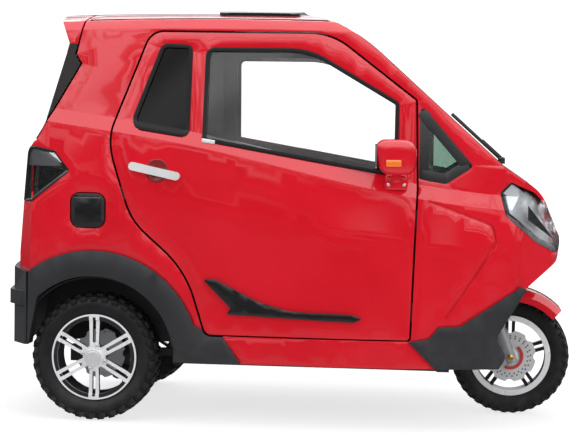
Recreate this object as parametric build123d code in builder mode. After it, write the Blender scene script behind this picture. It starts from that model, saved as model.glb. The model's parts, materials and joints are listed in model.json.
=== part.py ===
from build123d import *
from math import cos, radians, sin, tan
import os

# Enclosed electric tricycle: one steered wheel in front, two driven wheels behind,
# a closed two-door cabin with a lifting tailgate.
# Frame: +X forward, +Y left, +Z up, origin on the floor below the middle of the box.

# Wheels and running gear
WHEELBASE = 1645.0
TRACK = 912.0
FRONT_AXLE_X = 900.0
REAR_AXLE_X = FRONT_AXLE_X - WHEELBASE
FRONT_TYRE_R = 242.0
FRONT_TYRE_W = 96.0
FRONT_RIM_R = 166.0
REAR_TYRE_R = 252.0
REAR_TYRE_W = 145.0
REAR_RIM_R = 170.0
RIM_LIP = 14.0
RIM_WALL = 8.0
HUB_R = 34.0
AXLE_R = 10.0
BEARING_FIT = 0.05
FRONT_DISC_R = 106.0
REAR_DISC_R = 100.0
DISC_T = 4.0
FRONT_SPOKES = 5
REAR_SPOKES = 6
BEAD_SHARE = 0.36
TREAD_SHARE = 0.30
TYRE_SHOULDER = 12.0
FLANGE_T = 6.0
HUB_FACE_R = 46.0
SPOKE_ROOT = 17.0
SPOKE_TIP = 21.0
SPOKE_SLOT = 13.0
SPOKE_T = 22.0
PETAL_R = 20.0
PETALS = 8
FRONT_DISC_Y = 46.0
FRONT_HUB_HALF = 52.0
REAR_DISC_Y = 70.0
REAR_HUB_HALF = 74.0
REAR_SPOKE_Y = 30.0

# Steering
RAKE = 21.0
TRAIL = 80.0
FORK_LEG_R = 17.0
FORK_LEG_Y = 78.0
CROWN_S = 380.0
HEAD_LOW_S = 424.0
HEAD_HIGH_S = 620.0
HEAD_TUBE_R = 34.0
STEM_R = 20.0
CALIPER_ANGLE = 142.0
CALIPER_L = 52.0
CALIPER_WALL = 9.0
BAR_R = 13.0
BAR_HALF = 265.0
BAR_X = 545.0
BAR_Z = 1005.0

# Body shell
BOTTOM_Z = 245.0
FOOT = 100.0
HOLLOW_DROP = 150.0
WALL = 40.0
BELT_BAND = 55.0
RAIL_BAND = 36.0
RAIL_SWELL = 10.0
RAIL_LEAN = 18.0
SEAM = 8.0
SEAT_GAP = 0.3
PANE_T = 8.0
CLADDING_PROUD = 10.0
COWL_TOP_Z = 1035.0
COWL_BACK_X = 420.0
WELL_HALF = 245.0
WELL_X0 = 590.0
WELL_TOP_Z = 650.0
BULKHEAD_T = 10.0
SILL_TOP_Z = 351.0
DOOR_FRONT_X = 515.0
DOOR_LOW_Z = SILL_TOP_Z + 6.0

# How far the cutting solids reach past the body
REACH_X = 1300.0
REACH_Y = 720.0
REACH_Z = 1700.0
SIDE_IN = -200.0
SIDE_OUT = -REACH_Y

# Body cross-sections, mm
# x, half width at sill, fold, belt, glass line and rail, then heights of fold, belt, rail and crown
BODY_SECTIONS = [
    (-1200, 500, 520, 505, 478, 425, 1050, 1240, 1562, 1600),
    (-700, 540, 556, 541, 516, 446, 957, 1148, 1583, 1632),
    (0, 540, 560, 545, 522, 452, 800, 1015, 1587, 1634),
    (520, 528, 550, 535, 512, 450, 718, 905, 1570, 1622),
    (900, 440, 470, 458, 440, 425, 690, 860, 1550, 1600),
    (1200, 310, 345, 335, 320, 400, 680, 840, 1530, 1580),
]

# Side view of the body from the roof to the chin, x, z and corner radius
SIDE_PROFILE = [
    (-REACH_X, 1666, 5),
    (170, 1640, 700),
    (845, 1035, 60),
    (1000, 930, 160),
    (1088, 725, 25),
    (1066, 655, 30),
    (930, 545, 60),
    (822, 370, 40),
    (862, 290, 30),
    (825, 235, 5),
]

# Rear end in the middle plane, x, z and corner radius; it is turned about an upright axis far ahead
REAR_PROFILE = [
    (-953, REACH_Z, 2),
    (-940, 1573, 6),
    (-911, 1484, 40),
    (-1002, 1177, 250),
    (-1070, 1064, 60),
    (-1084, 900, 300),
    (-1103, 660, 5),
]
REAR_SWEEP_R = 2400.0
REAR_SWEEP_X = REAR_SWEEP_R - 1040.0

# Plan view of the body, x, half width and corner radius
PLAN_PROFILE = [
    (-1190, 300, 60),
    (-985, 560, 130),
    (-860, 640, 5),
    (560, 640, 5),
    (890, 475, 300),
    (1068, 285, 170),
    (1092, 60, 100),
]

# Door outline in side view, x, z and corner radius
DOOR_OUTLINE = [
    (497, DOOR_LOW_Z, 10),
    (-296, DOOR_LOW_Z, 30),
    (-375, 610, 420),
    (-590, 800, 260),
    (-690, 1115, 260),
    (-536, 1537, 70),
    (172, 1534, 250),
    (505, 1280, 15),
    (DOOR_FRONT_X, 930, 500),
]
MAIN_WINDOW = [
    (-318, 1477, 35),
    (90, 1477, 300),
    (441, 1272, 25),
    (441, 983, 60),
    (-322, 1112, 15),
]
REAR_WINDOW = [
    (-492, 1491, 35),
    (-371, 1486, 25),
    (-373, 1122, 30),
    (-612, 1158, 45),
]
QUARTER_LIGHT = [
    (522, 1272, 12),
    (732, 1030, 14),
    (627, 962, 30),
    (522, 980, 8),
]
HEADLAMP = [
    (876, 972, 10),
    (970, 931, 60),
    (1035, 862, 60),
    (1110, 735, 10),
    (1062, 690, 10),
    (985, 731, 60),
    (859, 842, 30),
    (835, 930, 20),
]
TAIL_LAMP = [
    (-1130, 1075, 5),
    (-976, 1083, 20),
    (-900, 1066, 20),
    (-838, 987, 8),
    (-995, 862, 15),
    (-1130, 880, 5),
]
FRONT_CLADDING = [
    (495, 351, 3),
    (574, 362, 15),
    (612, 410, 20),
    (691, 412, 40),
    (925, 566, 4),
    (960, 540, 4),
    (900, 200, 4),
    (640, 200, 4),
]
DOOR_TRIM = [
    (-308, 575, 6),
    (-262, 577, 12),
    (-90, 492, 260),
    (30, 458, 260),
    (275, 452, 20),
    (316, 437, 4),
    (280, 422, 20),
    (-214, 440, 6),
    (-196, 463, 8),
]
DOOR_TRIM_T = 12.0

# Groove of the front wing, x and z, from the door gap round to the cladding
FENDER_GROOVE = [(560, 896), (806, 806), (822, 740), (734, 596), (634, 445)]
GROOVE_BEND = 28.0
GROOVE_W = 11.0
GROOVE_DEPTH = 4.0
GROOVE_IN_Y = 380.0

# Tailgate: the side frame's rear edge in side view, from the roof down to the lamp
GATE_EDGE = [
    (-813, REACH_Z, 4),
    (-813, 1580, 4),
    (-840, 1446, 8),
    (-816, 1410, 8),
    (-940, 1185, 60),
    (-985, 1110, 20),
]
GATE_HALF = 400.0
GATE_LOW_Z = 652.0
GATE_GLASS_LOW_Z = 1190.0
GATE_GLASS_TOP_Z = 1488.0
GATE_PANEL_X = -900.0
GATE_ROOM_X = -700.0

# Rear arch and bumper
ARCH_R = 325.0
ARCH_BAND = 100.0
BUMPER_TOP_Z = 640.0
BUMPER_LOW_Z = 300.0
STEP_LOW_Z = 455.0
STEP_HIGH_Z = 512.0

# Cabin
FLOOR_Z = 262.0
FLOOR_T = 14.0
DECK_Z = 585.0
DECK_FRONT_X = -430.0
DASH_X0 = 690.0
DASH_X1 = 830.0
DASH_LOW_Z = 780.0
DASH_TOP_Z = 935.0
DASH_NOTCH_X = 735.0
DASH_NOTCH_HALF = 70.0
BATTERY_X0 = -225.0
BATTERY_X1 = 300.0
BATTERY_HALF = 200.0
BATTERY_H = 194.0

# Soft pieces: name, x0, x1, half width, height of what carries it, height, lean in degrees
SEAT_BOX_Z = FLOOR_Z + FLOOR_T + BATTERY_H
SEATS = [
    ("driver_seat_cushion", -100, 320, 225, SEAT_BOX_Z, 110, 0),
    ("driver_seat_back", -205, -120, 215, SEAT_BOX_Z, 530, 10),
    ("rear_bench_cushion", -690, -330, 400, DECK_Z, 110, 0),
    ("rear_bench_back", -810, -715, 400, DECK_Z, 520, 10),
]

# Blocks on the door jamb: x0, x1, y_in, y_out, z0, z1
HINGE_BLOCKS = [
    (470, 540, -504, -530, 430, 500),
    (470, 540, -504, -530, 790, 860),
]
SEAL_LAP = 16.0
SEAL_T = 14.0
SEAL_CLEAR = 9.0
SEAL_TOP_Z = 1530.0
STRIKER_BLOCK = (-700, -560, -541, -550, 880, 930)
GATE_STRIKER_HALF = 35.0
GATE_STRIKER_X = -1036.0
GATE_STRIKER_Z = 700.0

# Roof panel, glass and lamps
FRAME_Y = 408.0
SCREEN_TOP_Z = 1540.0
SCREEN_BACK_X = 180.0
ROOF_FRONT_X = 600.0
ROOF_LOW_Z = 1480.0
CHIN_Z = 566.0
SUNROOF_X = -135.0
SUNROOF_L = 330.0
SUNROOF_W = 560.0
SUNROOF_T = 12.0
SUNROOF_CORNER = 40.0
GATE_LIGHT_HALF = 350.0
GATE_LIGHT_LOW_Z = 1235.0
GATE_LIGHT_TOP_Z = 1446.0

# Sill and rear cladding points in side view, x and z
SILL = [(-231, SILL_TOP_Z, 2), (495, SILL_TOP_Z, 2), (602, BOTTOM_Z - 1, 2), (-156, BOTTOM_Z - 1, 2)]
CLAD_TOE = (-156, BOTTOM_Z - 1)
CLAD_HEEL = (-231, SILL_TOP_Z)
CLAD_NECK = (-303, 374)
BUMPER_TOE = (-1003, BUMPER_LOW_Z)
BUMPER_X = -1010.0
BUMPER_PROUD = 12.0
STEP_PROUD = 29.0

# Charging flap
FLAP_X = -765.0
FLAP_Z = 835.0
FLAP_SIZE = 132.0
FLAP_CORNER = 34.0
FLAP_GAP = 5.0
FLAP_PROUD = 4.0
SOCKET_R = 34.0

# Door fittings
HANDLE_X = -501.0
HANDLE_Z = 993.0
HANDLE_L = 205.0
HANDLE_W = 32.0
HANDLE_TILT = -12.0
HANDLE_OUT_Y = 578.0
MIRROR_X = 440.0
MIRROR_Z = 1064.0
MIRROR_IN_Y = 568.0
MIRROR_OUT_Y = 700.0
MIRROR_TAPER = 9.0
MIRROR_FOOT_X = 438.0
MIRROR_FOOT_Z = 966.0
MIRROR_FOOT_L = 84.0
MIRROR_FOOT_H = 54.0
MIRROR_FOOT_IN_Y = 450.0
MIRROR_FOOT_OUT_Y = 552.0
MIRROR_NECK_L = 44.0
MIRROR_NECK_IN_Y = 520.0
MIRROR_NECK_OUT_Y = 600.0

# Mirror housing in side view, from its middle: x, z and corner radius
MIRROR_OUTLINE = [
    (-78, 40, 26),
    (-50, 68, 30),
    (62, 60, 34),
    (80, 20, 24),
    (66, -48, 30),
    (6, -66, 40),
    (-72, -38, 26),
]

# Front wheel well and chassis
WELL_X1 = 860.0
RAIL_Y = 250.0
RAIL_W = 50.0
RAIL_H = 60.0
RAIL_X0 = -470.0
RAIL_X1 = 652.0
CROSS_X = (-445.0, -60.0, 380.0)
TIE_DOWN_X = (-380.0, 520.0)
TIE_DOWN_R = 8.0
STRUT_BOX = (602.0, 652.0, -258.0, -298.0, 202.0, 760.0)
HEAD_BEAM_X1 = 700.0
HEAD_BEAM_LOW_Z = 700.0
SLIDER_L = 190.0
CROWN_T = 34.0
CROWN_L = 74.0
STEM_TOP_S = 700.0
GRIP_L = 115.0
GRIP_R = 17.0
GUARD_R = 284.0
GUARD_SHOULDER = 26.0
GUARD_SIDE_R = 232.0
GUARD_HALF = 106.0
GUARD_T = 4.0
GUARD_FROM = 44.0
GUARD_TO = 136.0

# Rear axle and springs
STUB_R = 20.0
AXLE_TUBE_R = 32.0
AXLE_TUBE_HALF = 366.0
MOTOR_R = 92.0
MOTOR_L = 210.0
ARM_W = 30.0
ARM_H = 30.0
PAD_L = 70.0
PAD_H = 38.0
SPRING_Y = 300.0
SPRING_R = 36.0
SPRING_CORE_R = 24.0
SPRING_SEAT_H = 12.0
CALIPER_IN = 26.0
CALIPER_OUT = 15.0
CALIPER_HALF_H = 32.0
DISC_CLEAR = 5.0
HOUSE_T = 6.0
HOUSE_IN_Y = 342.0
HOUSE_OUT_Y = 505.0
HOUSE_LOW_Z = 300.0

# Derived frames
RAKE_UP = Vector(-sin(radians(RAKE)), 0, cos(radians(RAKE)))
STEER_FOOT_X = FRONT_AXLE_X + TRAIL - FRONT_TYRE_R * tan(radians(RAKE))
STEER_FOOT = Vector(STEER_FOOT_X, 0, FRONT_TYRE_R)
STEER_PLANE = Plane(origin=STEER_FOOT, x_dir=(cos(radians(RAKE)), 0, sin(radians(RAKE))), z_dir=RAKE_UP)
REAR_WHEEL_Y = TRACK / 2

os.makedirs("parts", exist_ok=True)


def save(part, name):
    """Label a finished piece and write its file."""
    part.label = name
    export_step(part, f"parts/{name}.step")


def rounded_face(outline):
    """Flat sketch from rows of two coordinates and a corner radius."""
    with BuildSketch() as face:
        with BuildLine():
            FilletPolyline(*[(u, v) for u, v, r in outline], radius=[r for u, v, r in outline], close=True)
        make_face()
    return face.sketch


def side_prism(outline, y_in, y_out):
    """Side-view outline of x, z, radius rows, pushed across from y_in to y_out (y_in the larger)."""
    with BuildPart() as prism:
        with BuildSketch(Plane.XZ.offset(-y_in)):
            add(rounded_face(outline))
        extrude(amount=y_in - y_out)
    return prism.part


def grown(outline, amount):
    """Solid across the right side whose outline is the given one, grown by amount."""
    with BuildPart() as prism:
        with BuildSketch(Plane.XZ.offset(-SIDE_IN)):
            add(rounded_face(outline))
            offset(amount=amount, kind=Kind.ARC)
        extrude(amount=SIDE_IN - SIDE_OUT)
    return prism.part


def envelope(inset, bottom):
    """The body's outer form, moved inward by inset and running down to the height bottom."""
    with BuildPart() as form:
        for x, sill, fold, belt, glass, rail, z_fold, z_belt, z_rail, z_crown in BODY_SECTIONS:
            right = [
                (-sill + inset, bottom),
                (-fold + inset, z_fold),
                (-belt + inset, z_belt),
                (-glass + inset, z_belt + BELT_BAND),
                (-rail - RAIL_SWELL + inset, z_rail - RAIL_BAND - inset / 3),
                (-rail + RAIL_LEAN + 2 * inset / 3, z_rail - inset),
            ]
            left = [(-y, z) for y, z in right]
            with BuildSketch(Plane.YZ.offset(x)):
                with BuildLine():
                    Polyline(*right)
                    ThreePointArc(right[-1], (0, z_crown - inset), left[-1])
                    Polyline(*left)
                    Line(right[0], left[0])
                make_face()
        loft()
        with BuildSketch(Plane.XZ):
            foot = [(SIDE_PROFILE[-1][0], bottom - FOOT, 1), (-REACH_X, bottom - FOOT, 1)]
            add(rounded_face(SIDE_PROFILE + foot))
            if inset:
                offset(amount=-inset, kind=Kind.INTERSECTION, mode=Mode.REPLACE)
        extrude(amount=REACH_Y, both=True, mode=Mode.INTERSECT)
        with BuildSketch(Plane.XZ):
            foot = [(REAR_PROFILE[-1][0], bottom - FOOT, 1), (REAR_SWEEP_X, bottom - FOOT, 1)]
            add(rounded_face(REAR_PROFILE + foot + [(REAR_SWEEP_X, REACH_Z, 1)]))
            if inset:
                offset(amount=-inset, kind=Kind.INTERSECTION, mode=Mode.REPLACE)
            split(bisect_by=Plane.YZ.offset(REAR_SWEEP_X), keep=Keep.BOTTOM)
        revolve(axis=Axis((REAR_SWEEP_X, 0, 0), (0, 0, 1)), mode=Mode.INTERSECT)
        with BuildSketch(Plane.XY.offset(bottom)):
            add(rounded_face([(x, -y, r) for x, y, r in PLAN_PROFILE] + PLAN_PROFILE[::-1]))
            if inset:
                offset(amount=-inset, kind=Kind.INTERSECTION, mode=Mode.REPLACE)
        extrude(amount=REACH_Z, mode=Mode.INTERSECT)
    return form.part


def slab(x0, x1, half_y, z0, z1):
    """Box from x0 to x1 and z0 to z1, centred across on half_y."""
    with BuildPart() as box:
        with Locations(((x0 + x1) / 2, 0, (z0 + z1) / 2)):
            Box(x1 - x0, 2 * half_y, z1 - z0)
    return box.part


def side_slab(x0, x1, y_in, y_out, z0, z1):
    """Box between y_in and y_out, which are both on the right side."""
    with BuildPart() as box:
        with Locations(((x0 + x1) / 2, (y_in + y_out) / 2, (z0 + z1) / 2)):
            Box(x1 - x0, abs(y_in - y_out), z1 - z0)
    return box.part


def both_sides(part):
    """A right-side piece with its mirror image on the left."""
    with BuildPart() as pair:
        add(part)
        mirror(part, about=Plane.XZ)
    return pair.part


def left_of(part):
    """The left-hand twin of a right-side piece."""
    with BuildPart() as twin:
        mirror(part, about=Plane.XZ)
    return twin.part


def rod(start, end, radius):
    """Round bar between two points."""
    start = Vector(*start)
    end = Vector(*end)
    with BuildPart() as bar:
        with BuildSketch(Plane(origin=start, z_dir=end - start)):
            Circle(radius)
        extrude(amount=(end - start).length)
    return bar.part


# Body forms: skin, the glass layers under it, the cladding over it and the hollow inside
outer = envelope(0, BOTTOM_Z)
glass_back = envelope(PANE_T, BOTTOM_Z)
pane_back = envelope(2 * PANE_T, BOTTOM_Z)
inner = envelope(WALL, BOTTOM_Z - HOLLOW_DROP)
clad_outer = envelope(-CLADDING_PROUD, BOTTOM_Z)


def layer(form, outside, inside):
    """What lies between two body forms inside the given solid."""
    with BuildPart() as skin:
        add(form)
        add(outside, mode=Mode.INTERSECT)
        add(inside, mode=Mode.SUBTRACT)
    return skin.part


# Regions of the body, as solids across one or both sides
door_form = side_prism(DOOR_OUTLINE, -(FRAME_Y + SEAM), SIDE_OUT)
door_gap = grown(DOOR_OUTLINE, SEAM)
main_window = side_prism(MAIN_WINDOW, SIDE_IN, SIDE_OUT)
rear_window = side_prism(REAR_WINDOW, SIDE_IN, SIDE_OUT)
quarter_form = side_prism(QUARTER_LIGHT, SIDE_IN, SIDE_OUT)
headlamp_form = side_prism(HEADLAMP, SIDE_IN, SIDE_OUT)
tail_lamp_form = side_prism(TAIL_LAMP, -FRAME_Y, SIDE_OUT)
front_clad_form = side_prism(FRONT_CLADDING, -WELL_HALF, SIDE_OUT)
sill_form = side_prism(SILL, SIDE_IN, SIDE_OUT)
headlamp_forms = both_sides(headlamp_form)
quarter_forms = both_sides(quarter_form)
door_gaps = both_sides(door_gap)
front_clad_forms = both_sides(front_clad_form)
sill_forms = both_sides(sill_form)

gate_foot_z = GATE_EDGE[-1][1]
gate_side = GATE_EDGE + [(-REACH_X, gate_foot_z, 4), (-REACH_X, REACH_Z, 4)]
gate_side_gap = [(x + SEAM, z, r) for x, z, r in GATE_EDGE]
gate_side_gap[-1] = (GATE_EDGE[-1][0] + SEAM, gate_foot_z - SEAM, GATE_EDGE[-1][2])
gate_side_gap += [(-REACH_X, gate_foot_z - SEAM, 4), (-REACH_X, REACH_Z, 4)]

with BuildPart() as gate_form:
    add(side_prism(gate_side, REACH_Y, -REACH_Y))
    add(slab(-REACH_X, GATE_PANEL_X, GATE_HALF, GATE_LOW_Z, gate_foot_z + SEAM))

with BuildPart() as gate_gap:
    add(side_prism(gate_side_gap, REACH_Y, -REACH_Y))
    add(slab(-REACH_X, GATE_PANEL_X + SEAM, GATE_HALF + SEAM, GATE_LOW_Z - SEAM, gate_foot_z + SEAM))

front_zone = slab(COWL_BACK_X, REACH_X, REACH_Y, 0, COWL_TOP_Z)
screen_zone = slab(SCREEN_BACK_X, REACH_X, FRAME_Y, COWL_TOP_Z, SCREEN_TOP_Z)

# Rear arch and bumper outline in side view
arch_out = ARCH_R + ARCH_BAND


def arch_point(radius, angle):
    """Point at a radius and an angle above the forward direction, about the rear axle."""
    return (REAR_AXLE_X + radius * cos(radians(angle)), REAR_TYRE_R + radius * sin(radians(angle)))


with BuildPart() as rear_clad_form:
    with BuildSketch(Plane.XZ.offset(-REACH_Y)):
        with BuildLine():
            rise = Polyline(CLAD_TOE, CLAD_HEEL, CLAD_NECK, arch_point(arch_out, 19))
            over = ThreePointArc(rise @ 1, arch_point(arch_out, 75), arch_point(arch_out, 128))
            tail = [(-REACH_X, BUMPER_TOP_Z + SEAM), (-REACH_X, BUMPER_LOW_Z), BUMPER_TOE]
            back = Polyline(over @ 1, *tail, arch_point(ARCH_R, 133))
            under = ThreePointArc(back @ 1, arch_point(ARCH_R, 70), arch_point(ARCH_R, 8))
            Polyline(under @ 1, ((under @ 1).X, BOTTOM_Z), CLAD_TOE)
        make_face()
    extrude(amount=2 * REACH_Y)

# Room for the rear wheels inside the arches, open downwards
with BuildPart() as arch_void:
    with BuildSketch(Plane.XZ.offset(-REACH_Y)):
        with Locations((REAR_AXLE_X, REAR_TYRE_R)):
            Circle(ARCH_R + ARCH_BAND / 2)
        with Locations(((CLAD_NECK[0] - REACH_X) / 2, REAR_TYRE_R / 2)):
            Rectangle(REACH_X + CLAD_NECK[0], REAR_TYRE_R + ARCH_R / 2)
    extrude(amount=2 * REACH_Y)

# Doors with their cut windows
with BuildPart() as door_windows:
    add(main_window)
    add(rear_window)

with BuildPart() as door_sheet:
    add(door_form)
    add(door_windows.part, mode=Mode.SUBTRACT)

door_right = layer(door_sheet.part, outer, inner)
save(door_right, "door_right")
save(left_of(door_right), "door_left")

door_glass_right = layer(door_windows.part, glass_back, pane_back)
save(door_glass_right, "door_glass_right")
save(left_of(door_glass_right), "door_glass_left")

# Rubber flange round each doorway, behind the door gap and clear of the door's inner face
with BuildPart() as seal_band:
    add(grown(DOOR_OUTLINE, SEAM + SEAL_LAP))
    add(grown(DOOR_OUTLINE, -SEAL_LAP), mode=Mode.SUBTRACT)
    add(slab(-REACH_X, REACH_X, REACH_Y, 0, SEAL_TOP_Z), mode=Mode.INTERSECT)
with BuildPart() as seal_room:
    add(seal_band.part)
    add(door_gap, mode=Mode.INTERSECT)
with BuildPart() as door_seal:
    add(layer(seal_band.part, inner, Pos(0, SEAL_T, 0) * inner))
    add(layer(seal_room.part, inner, Pos(0, SEAL_CLEAR, 0) * inner), mode=Mode.SUBTRACT)
save(both_sides(door_seal.part), "door_seals")

# Hinge and striker blocks that bridge the door gap
with BuildPart() as jamb_gap:
    add(door_gap)
    add(grown(DOOR_OUTLINE, SEAT_GAP), mode=Mode.SUBTRACT)


def jamb_block(row):
    """Right-hand block that fills the door gap inside the given box."""
    with BuildPart() as block:
        add(jamb_gap.part)
        add(side_slab(*row), mode=Mode.INTERSECT)
    return block.part


# Side frames: rear quarter, roof rail and windscreen pillar in one pressing
with BuildPart() as frame_sheet:
    add(side_slab(-REACH_X, REACH_X, -FRAME_Y, SIDE_OUT, 0, REACH_Z))
    add(front_zone, mode=Mode.SUBTRACT)
    add(door_gap, mode=Mode.SUBTRACT)
    add(rear_clad_form.part, mode=Mode.SUBTRACT)
    add(arch_void.part, mode=Mode.SUBTRACT)
    add(sill_form, mode=Mode.SUBTRACT)
    add(gate_gap.part, mode=Mode.SUBTRACT)
    add(tail_lamp_form, mode=Mode.SUBTRACT)
    add(quarter_form, mode=Mode.SUBTRACT)

with BuildPart() as plain_frame:
    add(layer(frame_sheet.part, outer, inner))
    add(jamb_block(STRIKER_BLOCK))
save(left_of(plain_frame.part), "side_frame_left")


def flap_square(grow):
    """Rounded square of the charging flap, grown on every side and pushed across the right side."""
    with BuildPart() as square:
        with BuildSketch(Plane.XZ.offset(-SIDE_IN)):
            with Locations((FLAP_X, FLAP_Z)):
                RectangleRounded(FLAP_SIZE + 2 * grow, FLAP_SIZE + 2 * grow, FLAP_CORNER + grow)
        extrude(amount=SIDE_IN - SIDE_OUT)
    return square.part


with BuildPart() as socket_bar:
    with BuildSketch(Plane.XZ.offset(-SIDE_IN)):
        with Locations((FLAP_X, FLAP_Z)):
            Circle(SOCKET_R)
    extrude(amount=SIDE_IN - SIDE_OUT)

with BuildPart() as side_frame_right:
    add(plain_frame.part)
    add(layer(flap_square(FLAP_GAP), outer, pane_back), mode=Mode.SUBTRACT)
    add(layer(socket_bar.part, Pos(0, SEAT_GAP, 0) * glass_back, pane_back))
save(side_frame_right.part, "side_frame_right")

# Charging flap: lies in its pocket, a little proud of the skin
charge_flap = layer(flap_square(0), Pos(0, -FLAP_PROUD, 0) * outer, glass_back)
save(charge_flap, "charge_flap")

# Roof, sunroof panel, windscreen and front cowl
with BuildPart() as roof_sheet:
    add(slab(-REACH_X, ROOF_FRONT_X, FRAME_Y, ROOF_LOW_Z, REACH_Z))
    add(screen_zone, mode=Mode.SUBTRACT)
    add(gate_gap.part, mode=Mode.SUBTRACT)
save(layer(roof_sheet.part, outer, inner), "roof_panel")

with BuildPart() as sunroof_block:
    with BuildSketch(Plane.XY.offset(ROOF_LOW_Z)):
        with Locations((SUNROOF_X, 0)):
            RectangleRounded(SUNROOF_L, SUNROOF_W, SUNROOF_CORNER)
    extrude(amount=REACH_Z - ROOF_LOW_Z)
save(layer(sunroof_block.part, Pos(0, 0, SUNROOF_T) * outer, outer), "sunroof_panel")

save(layer(screen_zone, outer, glass_back), "windscreen")
save(layer(quarter_forms, outer, glass_back), "front_quarter_lights")
save(layer(headlamp_forms, outer, inner), "headlamps")
save(layer(sill_forms, outer, inner), "sills")

# Groove pressed into the front wing, a thin layer of the skin under a bent line
with BuildPart() as fender_groove:
    with BuildSketch(Plane.XZ.offset(GROOVE_IN_Y)):
        with BuildLine():
            FilletPolyline(*FENDER_GROOVE, radius=GROOVE_BEND)
        trace(line_width=GROOVE_W)
    extrude(amount=REACH_Y - GROOVE_IN_Y)
    add(Pos(0, GROOVE_DEPTH, 0) * outer, mode=Mode.SUBTRACT)

with BuildPart() as cowl_sheet:
    add(front_zone)
    add(door_gaps, mode=Mode.SUBTRACT)
    add(front_clad_forms, mode=Mode.SUBTRACT)
    add(sill_forms, mode=Mode.SUBTRACT)
    add(headlamp_forms, mode=Mode.SUBTRACT)
    add(quarter_forms, mode=Mode.SUBTRACT)
    add(slab(0, REACH_X, WELL_HALF, 0, CHIN_Z), mode=Mode.SUBTRACT)

with BuildPart() as front_cowl:
    add(layer(cowl_sheet.part, outer, inner))
    add(both_sides(fender_groove.part), mode=Mode.SUBTRACT)
    for row in HINGE_BLOCKS:
        add(both_sides(jamb_block(row)))
save(front_cowl.part, "front_cowl")

with BuildPart() as clad_sheet:
    add(front_clad_forms)
    add(sill_forms, mode=Mode.SUBTRACT)
save(layer(clad_sheet.part, clad_outer, inner), "front_lower_cladding")

# Rear bumper with both arch claddings, and its step
bumper_zone = slab(-REACH_X, BUMPER_X, REACH_Y, 0, BUMPER_TOP_Z + FOOT)
step_zone = slab(-REACH_X, BUMPER_X, REACH_Y, STEP_LOW_Z, STEP_HIGH_Z)
with BuildPart() as bumper_sheet:
    add(rear_clad_form.part)
    add(door_gaps, mode=Mode.SUBTRACT)
with BuildPart() as rear_bumper:
    add(clad_outer)
    add(Pos(-BUMPER_PROUD, 0, 0) * clad_outer & bumper_zone)
    add(Pos(-STEP_PROUD, 0, 0) * clad_outer & step_zone)
    add(bumper_sheet.part, mode=Mode.INTERSECT)
    add(inner, mode=Mode.SUBTRACT)
save(rear_bumper.part, "rear_bumper")

with BuildPart() as lamp_sheet:
    add(both_sides(tail_lamp_form))
    add(gate_gap.part, mode=Mode.SUBTRACT)
save(layer(lamp_sheet.part, outer, inner), "tail_lamps")

# Tailgate: lower panel and frame, glass over the frame, spoiler along the top
gate_glass_zone = slab(-REACH_X, GATE_ROOM_X, REACH_Y, GATE_GLASS_LOW_Z, GATE_GLASS_TOP_Z)
spoiler_zone = slab(-REACH_X, GATE_ROOM_X, REACH_Y, GATE_GLASS_TOP_Z, REACH_Z)
gate_light = slab(-REACH_X, GATE_ROOM_X, GATE_LIGHT_HALF, GATE_LIGHT_LOW_Z, GATE_LIGHT_TOP_Z)
save(layer(gate_form.part & spoiler_zone, outer, inner), "spoiler")

glass_form = gate_form.part & gate_glass_zone
tailgate_glass = layer(glass_form, outer, glass_back)
save(tailgate_glass, "tailgate_glass")

with BuildPart() as gate_sheet:
    add(gate_form.part)
    add(spoiler_zone, mode=Mode.SUBTRACT)
    add(gate_light, mode=Mode.SUBTRACT)
with BuildPart() as tailgate:
    add(layer(gate_sheet.part, outer, inner))
    add(glass_form - glass_back, mode=Mode.SUBTRACT)
save(tailgate.part, "tailgate")

# Door fittings, each seated on the skin
with BuildPart() as door_handle_right:
    with BuildSketch(Plane.XZ.offset(HANDLE_OUT_Y)):
        with Locations(Location((HANDLE_X, HANDLE_Z), HANDLE_TILT)):
            SlotOverall(HANDLE_L, HANDLE_W)
    extrude(amount=-HANDLE_OUT_Y - SIDE_IN)
    add(outer, mode=Mode.SUBTRACT)
save(door_handle_right.part, "door_handle_right")
save(left_of(door_handle_right.part), "door_handle_left")

door_trim_form = side_prism(DOOR_TRIM, SIDE_IN, SIDE_OUT)
door_trim_right = layer(door_trim_form, Pos(0, -DOOR_TRIM_T, 0) * outer, outer)
save(door_trim_right, "door_trim_right")
save(left_of(door_trim_right), "door_trim_left")

with BuildPart() as mirror_right:
    with BuildSketch(Plane.XZ.offset(MIRROR_IN_Y)):
        add(rounded_face([(MIRROR_X + x, MIRROR_Z + z, r) for x, z, r in MIRROR_OUTLINE]))
    extrude(amount=MIRROR_OUT_Y - MIRROR_IN_Y, taper=MIRROR_TAPER)
    with Locations((MIRROR_FOOT_X, -(MIRROR_FOOT_IN_Y + MIRROR_FOOT_OUT_Y) / 2, MIRROR_FOOT_Z)):
        Box(MIRROR_FOOT_L, MIRROR_FOOT_OUT_Y - MIRROR_FOOT_IN_Y, MIRROR_FOOT_H)
    neck_z = (MIRROR_FOOT_Z + MIRROR_Z) / 2
    with Locations((MIRROR_FOOT_X, -(MIRROR_NECK_IN_Y + MIRROR_NECK_OUT_Y) / 2, neck_z)):
        Box(MIRROR_NECK_L, MIRROR_NECK_OUT_Y - MIRROR_NECK_IN_Y, MIRROR_Z - MIRROR_FOOT_Z)
    add(outer, mode=Mode.SUBTRACT)
save(mirror_right.part, "mirror_right")
save(left_of(mirror_right.part), "mirror_left")

# Striker post of the tailgate, a small gap ahead of its inner face
with BuildPart() as gate_striker:
    add(Pos(SEAT_GAP, 0, 0) * inner)
    add(slab(-REACH_X, GATE_STRIKER_X, GATE_STRIKER_HALF, DECK_Z, GATE_STRIKER_Z), mode=Mode.INTERSECT)

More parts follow.
